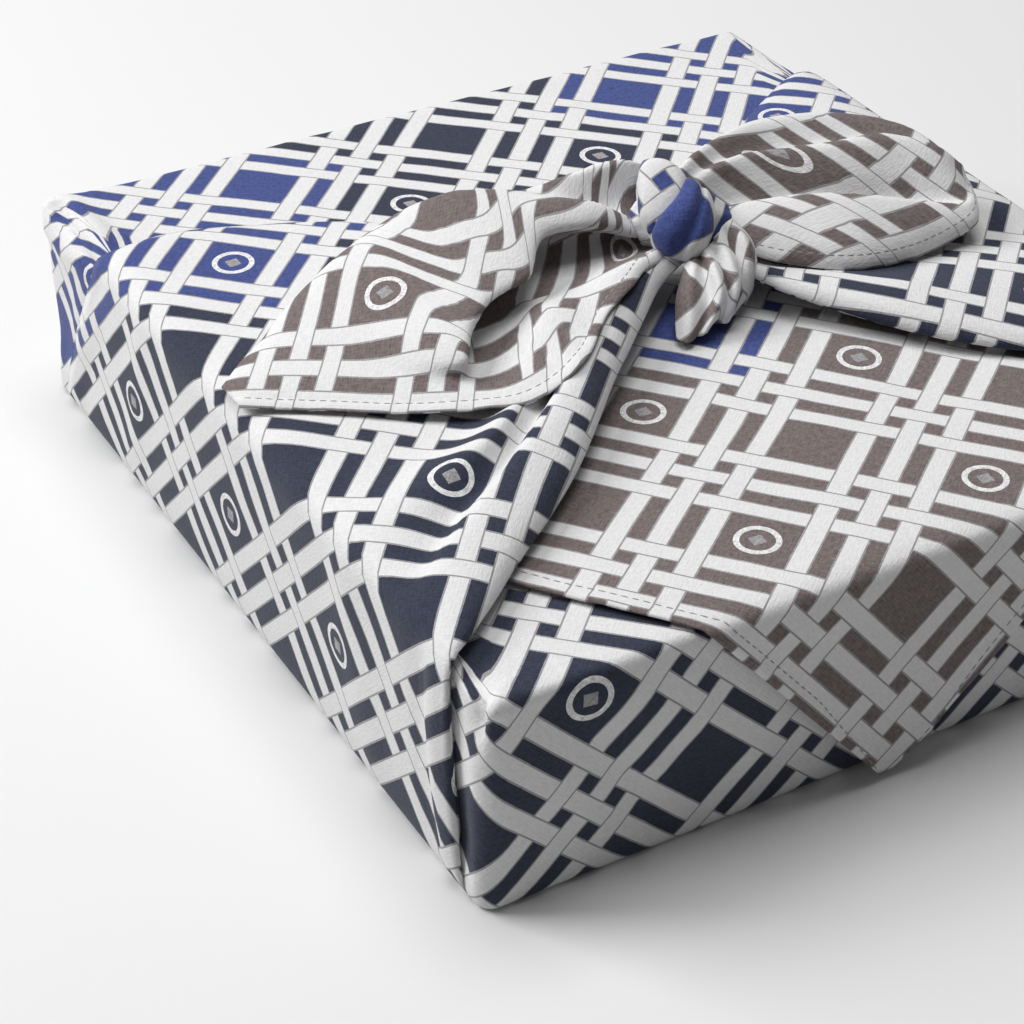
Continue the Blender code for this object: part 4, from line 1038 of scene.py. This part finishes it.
def build_sheet(name, table, start, material):
    """One sheet of the knot as an object."""
    mesh = new_cloth()
    lay_panel(mesh, knot_panel(table, start))
    crumple(mesh, amount=KNOT["crumple"])
    piece = finished(name, mesh, material)
    thicken(piece, KNOT["thickness"] * MM, offset=0.0)
    return piece


def roll_panel(table, start):
    """The roll inside the knot, gathered into pleats; start is where its first point lies flat."""
    knots = [row["at"] + (row["wide"], row["thick"]) for row in table]
    stations = smooth_line(knots, np.linspace(0, len(table) - 1, ROLL["steps"] * len(table)))
    centres = facing(stations[:, :3])
    ahead = np.gradient(centres, axis=0)
    ahead /= np.linalg.norm(ahead, axis=1, keepdims=True)
    turns = np.linspace(0, 2 * math.pi, ROLL["sides"] + 1)
    pleat = 1.0 + ROLL["depth"] * np.cos(ROLL["pleats"] * turns)
    rows, flat = [], []
    for centre, tangent, (wide, thick) in zip(centres, ahead, stations[:, 3:]):
        side = np.cross(tangent, -sight())
        side /= np.linalg.norm(side)
        across = (np.cos(turns) * wide * pleat)[:, None] * side
        through = (np.sin(turns) * thick * pleat)[:, None] * np.cross(side, tangent)
        flat_y = np.full(len(turns), start[1] + len(rows) * ROLL["spacing"])
        rows.append(centre + across + through)
        flat.append(np.stack([start[0] + turns * wide, flat_y], -1))
    return Panel(np.array(rows), np.array(flat))


def build_core(name, table, start, material):
    """The closed roll of cloth inside the knot as an object."""
    mesh = new_cloth()
    lay_panel(mesh, roll_panel(table, start))
    bmesh.ops.remove_doubles(mesh, verts=mesh.verts, dist=WELD * MM)
    bmesh.ops.holes_fill(mesh, edges=[edge for edge in mesh.edges if edge.is_boundary], sides=0)
    bmesh.ops.recalc_face_normals(mesh, faces=mesh.faces)
    return finished(name, mesh, material)


# The cloth's print in metres on the flat cloth: bands of a lattice in threes, with a line along each
# edge, and a ring round a diamond in its open squares.
PRINT = dict(period=0.047, bands=3, band_gap=0.0108, half_band=0.00285, half_line=0.00026,
             ring=0.0054, half_ring=0.0008, diamond=0.0026)

# Where the print's ground changes colour, in metres from the cloth's middle or along its diagonals.
ZONES = dict(corner=0.385, middle=0.2, back=0.035, beside=0.06, far=0.3)

# How far the speckle of the threads lightens and darkens the bands and the ground between them.
SPECKLE = dict(bands=0.25, ground=1.1)

# The threads: how often they change across and along themselves to the metre, their detail, and the
# strength and height of their relief in metres.
THREADS = dict(across=1900.0, along=420.0, detail=2.0, strength=0.5, height=0.0003)

# The finish of the cotton, the box's board and the floor.
COTTON = {"Specular IOR Level": 0.25, "Sheen Weight": 0.12, "Sheen Roughness": 0.5}
BOARD = dict(fibres=300.0, fibre_colour=(0.45, 0.38, 0.29, 1.0), roughness=0.8)
FLOOR = {"Base Color": (0.75, 0.75, 0.75, 1.0), "Roughness": 0.6, "Specular IOR Level": 0.2}


def feed(tree, socket, value):
    """Feed a socket from another one, or give it a value of its own."""
    if isinstance(value, bpy.types.NodeSocket):
        tree.links.new(value, socket)
    else:
        socket.default_value = value


def maths(tree, operation, *values):
    """The output of a maths node fed with sockets or numbers."""
    node = tree.nodes.new("ShaderNodeMath")
    node.operation = operation
    for socket, value in zip(node.inputs, values):
        feed(tree, socket, value)
    return node.outputs[0]


def blend_colour(tree, share, first, second):
    """The output of a colour mix fed with sockets or colours."""
    node = tree.nodes.new("ShaderNodeMix")
    node.data_type = "RGBA"
    for socket, value in zip((node.inputs[0], node.inputs[6], node.inputs[7]), (share, first, second)):
        feed(tree, socket, value)
    return node.outputs[2]


def new_group(name, inputs, outputs):
    """A node group with the given sockets, as pairs of name and type, and its two end nodes."""
    tree = bpy.data.node_groups.new(name, "ShaderNodeTree")
    for side, sockets in (("INPUT", inputs), ("OUTPUT", outputs)):
        for label, kind in sockets:
            tree.interface.new_socket(name=label, in_out=side, socket_type=kind)
    return tree, tree.nodes.new("NodeGroupInput"), tree.nodes.new("NodeGroupOutput")


def new_material(name, finish):
    """A material with a finish, given as values of its shader's sockets, with its tree and shader."""
    material = bpy.data.materials.new(name)
    material.use_nodes = True
    shader = material.node_tree.nodes["Principled BSDF"]
    for socket, value in finish.items():
        shader.inputs[socket].default_value = value
    return material, material.node_tree, shader


def within(tree, value, centre, half):
    """A mask of where a value lies within half a breadth of a centre."""
    away = maths(tree, "ABSOLUTE", maths(tree, "SUBTRACT", value, centre))
    return maths(tree, "LESS_THAN", away, half)


def lattice_axis(tree, place):
    """Masks of one direction of bands at a place: in a band, on its edge, its number, and its cell."""
    cell = maths(tree, "DIVIDE", place, PRINT["period"])
    whole = maths(tree, "ROUND", cell)
    away = maths(tree, "MULTIPLY", maths(tree, "SUBTRACT", cell, whole), PRINT["period"])
    number = maths(tree, "ROUND", maths(tree, "DIVIDE", away, PRINT["band_gap"]))
    last = (PRINT["bands"] - 1) / 2
    number = maths(tree, "MINIMUM", maths(tree, "MAXIMUM", number, -last), last)
    middle = maths(tree, "MULTIPLY", number, PRINT["band_gap"])
    away = maths(tree, "ABSOLUTE", maths(tree, "SUBTRACT", away, middle))
    band = maths(tree, "LESS_THAN", away, PRINT["half_band"])
    edge = within(tree, away, PRINT["half_band"], PRINT["half_line"])
    return band, edge, maths(tree, "MULTIPLY_ADD", whole, PRINT["bands"], number), cell


def odd(tree, number):
    """One where a whole number is odd and nought where it is even, also where it is a little off."""
    half = maths(tree, "FRACT", maths(tree, "MULTIPLY", number, 0.5))
    return maths(tree, "GREATER_THAN", maths(tree, "PINGPONG", half, 0.5), 0.25)


def open_square(tree, cells):
    """A mark of a ring round a diamond in every other open square of the lattice, as two masks."""
    offsets, floors = [], []
    for cell in cells:
        offset = maths(tree, "SUBTRACT", maths(tree, "FRACT", cell), 0.5)
        offsets.append(maths(tree, "MULTIPLY", offset, PRINT["period"]))
        floors.append(maths(tree, "FLOOR", cell))
    squares = [maths(tree, "MULTIPLY", offset, offset) for offset in offsets]
    radius = maths(tree, "SQRT", maths(tree, "ADD", *squares))
    ring = within(tree, radius, PRINT["ring"], PRINT["half_ring"])
    reach = maths(tree, "ADD", *[maths(tree, "ABSOLUTE", offset) for offset in offsets])
    diamond = maths(tree, "LESS_THAN", reach, PRINT["diamond"])
    chosen = odd(tree, maths(tree, "ADD", *floors))
    return maths(tree, "MULTIPLY", ring, chosen), maths(tree, "MULTIPLY", diamond, chosen)


def zone_masks(tree, cells):
    """Masks of the cloth's coloured parts, squared off to the lattice: its tips, and its brighter blue."""
    middle_u, middle_v = [maths(tree, "MULTIPLY", maths(tree, "ADD", maths(tree, "FLOOR", cell), 0.5),
                                PRINT["period"]) for cell in cells]
    px = maths(tree, "MULTIPLY", maths(tree, "SUBTRACT", middle_u, middle_v), SLANT)
    py = maths(tree, "MULTIPLY", maths(tree, "ADD", middle_u, middle_v), SLANT)
    wide, long = maths(tree, "ABSOLUTE", px), maths(tree, "ABSOLUTE", py)
    tip = maths(tree, "GREATER_THAN", maths(tree, "MAXIMUM", wide, long), ZONES["corner"])
    away = maths(tree, "GREATER_THAN", maths(tree, "ADD", maths(tree, "MULTIPLY", px, px),
                                             maths(tree, "MULTIPLY", py, py)), ZONES["middle"] ** 2)
    behind = maths(tree, "GREATER_THAN", py, ZONES["back"])
    beside = maths(tree, "MAXIMUM", maths(tree, "GREATER_THAN", wide, ZONES["beside"]),
                   maths(tree, "GREATER_THAN", py, ZONES["far"]))
    return tip, maths(tree, "MULTIPLY", maths(tree, "MULTIPLY", away, behind), beside)


def print_group(look):
    """A node group that draws the printed lattice from a place on the flat cloth."""
    tree, given, result = new_group("Lattice Print", [("Place", "NodeSocketVector")],
                                    [("Color", "NodeSocketColor"), ("Bands", "NodeSocketFloat")])
    split = tree.nodes.new("ShaderNodeSeparateXYZ")
    tree.links.new(given.outputs["Place"], split.inputs[0])
    band_u, edge_u, number_u, cell_u = lattice_axis(tree, split.outputs["X"])
    band_v, edge_v, number_v, cell_v = lattice_axis(tree, split.outputs["Y"])
    over_v = odd(tree, maths(tree, "ADD", number_u, number_v))
    hidden_u = maths(tree, "MULTIPLY", band_v, over_v)
    hidden_v = maths(tree, "MULTIPLY", band_u, maths(tree, "SUBTRACT", 1.0, over_v))
    line = maths(tree, "MAXIMUM", maths(tree, "MULTIPLY", edge_u, maths(tree, "SUBTRACT", 1.0, hidden_u)),
                 maths(tree, "MULTIPLY", edge_v, maths(tree, "SUBTRACT", 1.0, hidden_v)))
    ring, diamond = open_square(tree, (cell_u, cell_v))
    tip, bright = zone_masks(tree, (cell_u, cell_v))
    band = maths(tree, "MAXIMUM", band_u, band_v)
    colour = (*look.navy, 1.0)
    for mask, paint in ((bright, look.royal), (tip, look.taupe), (ring, look.band),
                        (diamond, look.line), (band, look.band), (line, look.line)):
        colour = blend_colour(tree, mask, colour, (*paint, 1.0))
    tree.links.new(colour, result.inputs["Color"])
    tree.links.new(band, result.inputs["Bands"])
    return tree


def weave_group():
    """A node group of fine threads both ways: a height, and a speckle about nought of light and dark."""
    tree, given, result = new_group("Cotton Weave", [("Place", "NodeSocketVector")],
                                    [("Height", "NodeSocketFloat"), ("Speckle", "NodeSocketFloat")])
    across, length = THREADS["across"], THREADS["along"]
    threads = []
    for stretch in ((across, length, 1.0), (length, across, 1.0)):
        scale = tree.nodes.new("ShaderNodeVectorMath")
        scale.operation = "MULTIPLY"
        scale.inputs[1].default_value = stretch
        tree.links.new(given.outputs["Place"], scale.inputs[0])
        texture = tree.nodes.new("ShaderNodeTexNoise")
        texture.inputs["Scale"].default_value = 1.0
        texture.inputs["Detail"].default_value = THREADS["detail"]
        tree.links.new(scale.outputs[0], texture.inputs["Vector"])
        threads.append(texture.outputs[0])
    height = maths(tree, "ADD", *threads)
    tree.links.new(height, result.inputs["Height"])
    tree.links.new(maths(tree, "SUBTRACT", height, 1.0), result.inputs["Speckle"])
    return tree


def placed_group(tree, group, place):
    """A node group in a material, fed with a place."""
    node = tree.nodes.new("ShaderNodeGroup")
    node.node_tree = group
    tree.links.new(place, node.inputs["Place"])
    return node


def cotton_material(look):
    """Printed cotton: lattice print, faint speckle and fine threads."""
    material, tree, shader = new_material("printed_cotton_cloth", dict(COTTON, Roughness=look.roughness))
    place = tree.nodes.new("ShaderNodeUVMap")
    place.uv_map = "flat_cloth"
    lattice = placed_group(tree, print_group(look), place.outputs[0])
    weave = placed_group(tree, weave_group(), place.outputs[0])
    speckled = tree.nodes.new("ShaderNodeHueSaturation")
    less = SPECKLE["bands"] - SPECKLE["ground"]
    depth = maths(tree, "MULTIPLY_ADD", lattice.outputs["Bands"], less, SPECKLE["ground"])
    light = maths(tree, "MULTIPLY_ADD", weave.outputs["Speckle"], depth, 1.0)
    tree.links.new(light, speckled.inputs["Value"])
    tree.links.new(lattice.outputs["Color"], speckled.inputs["Color"])
    tree.links.new(speckled.outputs[0], shader.inputs["Base Color"])
    bump = tree.nodes.new("ShaderNodeBump")
    bump.inputs["Strength"].default_value = THREADS["strength"]
    bump.inputs["Distance"].default_value = THREADS["height"]
    tree.links.new(weave.outputs["Height"], bump.inputs["Height"])
    tree.links.new(bump.outputs[0], shader.inputs["Normal"])
    return material


def board_material(look):
    """Plain board of the gift box, with faint fibres."""
    material, tree, shader = new_material("board_fibres", {"Roughness": BOARD["roughness"]})
    place = tree.nodes.new("ShaderNodeTexCoord")
    fibres = tree.nodes.new("ShaderNodeTexNoise")
    fibres.inputs["Scale"].default_value = BOARD["fibres"]
    tree.links.new(place.outputs["Object"], fibres.inputs["Vector"])
    colour = blend_colour(tree, fibres.outputs[0], (*look.board, 1.0), BOARD["fibre_colour"])
    tree.links.new(colour, shader.inputs["Base Color"])
    return material


def thread_material(look):
    """Plain sewing thread of the hems."""
    return new_material("hem_thread", {"Base Color": (*look.line, 1.0), "Roughness": look.roughness})[0]


# The camera: its place in metres, and its lens on a sensor of this width in millimetres.
CAMERA = dict(location=(-0.3432, -0.530079, 0.434544), lens=89.05, sensor=36.0)

# The lights, which face a point inside the box: place and size in metres, and share of the key
# light's power.
LIGHTS = dict(
    key=dict(at=(-1.19, 0.98, 1.32), size=1.0, share=1.0),
    overhead=dict(at=(0.1, 0.25, 1.75), size=1.0, share=0.52),
)
LIGHTS_AIM = (0.0, 0.0, 0.04)


def build_floor(look):
    """A pale round floor."""
    mesh = bmesh.new()
    bmesh.ops.create_circle(mesh, cap_ends=True, segments=64, radius=look.floor_size)
    finished("floor", mesh, new_material("pale_floor", FLOOR)[0])


def hang_lights(context, look):
    """Even light from all round, and two large soft lights."""
    world = bpy.data.worlds.new("even_light")
    context.scene.world = world
    world.use_nodes = True
    background = world.node_tree.nodes["Background"]
    background.inputs["Color"].default_value = (1.0, 1.0, 1.0, 1.0)
    background.inputs["Strength"].default_value = look.surround
    for name, row in LIGHTS.items():
        data = bpy.data.lights.new(name, "AREA")
        data.energy = look.key_power * row["share"]
        data.size = row["size"]
        lamp = bpy.data.objects.new(name, data)
        lamp.location = row["at"]
        lamp.rotation_euler = (Vector(LIGHTS_AIM) - lamp.location).to_track_quat("-Z", "Y").to_euler()
        context.scene.collection.objects.link(lamp)


def place_camera(context):
    """The camera, and plain colours for what it sees."""
    data = bpy.data.cameras.new("camera")
    data.lens = CAMERA["lens"]
    data.sensor_width = CAMERA["sensor"]
    camera = bpy.data.objects.new("camera", data)
    camera.location = CAMERA["location"]
    camera.rotation_euler = Vector(sight()).to_track_quat("-Z", "Y").to_euler()
    context.scene.collection.objects.link(camera)
    context.scene.camera = camera
    context.scene.view_settings.view_transform = "Standard"


class FuroshikiCloth(bpy.types.PropertyGroup):
    """Sizes and colours of the cloth and the box."""
    thickness: FloatProperty(name="Thickness", description="Thickness of the cloth", default=0.55 * MM,
                             min=0.2 * MM, max=2.0 * MM, unit="LENGTH")
    roughness: FloatProperty(name="Roughness", description="Roughness of the cotton", default=0.85,
                             min=0.0, max=1.0)
    navy: FloatVectorProperty(name="Dark Blue", description="Ground of most of the cloth",
                              default=(0.027, 0.033, 0.058), subtype="COLOR", size=3)
    royal: FloatVectorProperty(name="Bright Blue", description="Ground towards the back corner",
                               default=(0.046, 0.068, 0.222), subtype="COLOR", size=3)
    taupe: FloatVectorProperty(name="Taupe", description="Ground of the corners",
                               default=(0.158, 0.128, 0.124), subtype="COLOR", size=3)
    band: FloatVectorProperty(name="Bands", description="Off-white of the lattice bands",
                              default=(0.70, 0.695, 0.70), subtype="COLOR", size=3)
    line: FloatVectorProperty(name="Lines", description="Thin lines along the bands",
                              default=(0.30, 0.29, 0.30), subtype="COLOR", size=3)
    board: FloatVectorProperty(name="Board", description="Board of the box", default=(0.55, 0.48, 0.38),
                               subtype="COLOR", size=3)


class FuroshikiStage(bpy.types.PropertyGroup):
    """Sizes and lights of the stage."""
    floor_size: FloatProperty(name="Floor", description="Radius of the floor", default=6.0, min=1.0,
                              unit="LENGTH")
    key_power: FloatProperty(name="Key Light", description="Power of the key light", default=34.2,
                             min=0.0, unit="POWER")
    surround: FloatProperty(name="Surround", description="Strength of the even light all round",
                            default=0.13, min=0.0)


def declare(piece):
    """Fix a piece of cloth to the frame in place of its solid."""
    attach(piece, "root")
    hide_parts("furoshiki")


def cloth_look(context):
    """The cloth's sizes and colours, and its one shared material."""
    look = context.scene.furoshiki_cloth
    material = bpy.data.materials.get("printed_cotton_cloth") or cotton_material(look)
    return look, material


class FUROSHIKI_OT_box(bpy.types.Operator):
    """Give the gift box its board."""
    bl_idname = "furoshiki.box"
    bl_label = "Gift Box"

    def execute(self, context):
        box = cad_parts["gift_box"]
        box.material_slots[0].material = board_material(context.scene.furoshiki_cloth)
        return {"FINISHED"}


class FUROSHIKI_OT_wrap(bpy.types.Operator):
    """Build the folded cloth round the box."""
    bl_idname = "furoshiki.wrap"
    bl_label = "Folded Cloth"

    def execute(self, context):
        look, material = cloth_look(context)
        wrap, seams = build_wrap(material, look)
        stitches = build_stitches(seams, thread_material(look), look)
        declare(wrap)
        declare(stitches)
        return {"FINISHED"}


class FUROSHIKI_OT_knot(bpy.types.Operator):
    """Build the turns of the knot and the pleats that hang below it."""
    bl_idname = "furoshiki.knot"
    bl_label = "Knot"

    def execute(self, context):
        material = cloth_look(context)[1]
        declare(build_core("knot_core", CORE, KNOT_STARTS["core"], material))
        for name, table in (("facet", FACET), ("band", BAND), ("pleats", PLEATS)):
            declare(build_sheet("knot_" + name, table, KNOT_STARTS[name], material))
        return {"FINISHED"}


class FUROSHIKI_OT_stage(bpy.types.Operator):
    """Set the floor, the lights and the camera."""
    bl_idname = "furoshiki.stage"
    bl_label = "Stage"

    def execute(self, context):
        look = context.scene.furoshiki_stage
        build_floor(look)
        hang_lights(context, look)
        place_camera(context)
        return {"FINISHED"}


class FUROSHIKI_PT_panel(bpy.types.Panel):
    """Lists the steps that build the wrap."""
    bl_idname = "FUROSHIKI_PT_panel"
    bl_label = "Furoshiki Wrap"
    bl_space_type = "VIEW_3D"
    bl_region_type = "UI"
    bl_category = "Furoshiki"

    def draw(self, context):
        for group in (context.scene.furoshiki_cloth, context.scene.furoshiki_stage):
            for name in group.bl_rna.properties.keys():
                if name not in {"rna_type", "name"}:
                    self.layout.prop(group, name)
        for operator in OPERATORS:
            self.layout.operator(operator.bl_idname)


OPERATORS = (FUROSHIKI_OT_box, FUROSHIKI_OT_wrap, FUROSHIKI_OT_knot, FUROSHIKI_OT_stage)
CLASSES = (FuroshikiCloth, FuroshikiStage) + OPERATORS + (FUROSHIKI_PT_panel,)


def register():
    """Register the groups, the operators and the panel."""
    for item in CLASSES:
        bpy.utils.register_class(item)
    bpy.types.Scene.furoshiki_cloth = PointerProperty(type=FuroshikiCloth)
    bpy.types.Scene.furoshiki_stage = PointerProperty(type=FuroshikiStage)


def unregister():
    """Take the groups, the operators and the panel away again."""
    del bpy.types.Scene.furoshiki_stage
    del bpy.types.Scene.furoshiki_cloth
    for item in reversed(CLASSES):
        bpy.utils.unregister_class(item)


def main():
    """Build every piece and the stage."""
    register()
    bpy.ops.furoshiki.box()
    bpy.ops.furoshiki.wrap()
    bpy.ops.furoshiki.knot()
    bpy.ops.furoshiki.stage()


if __name__ == "__main__":
    main()
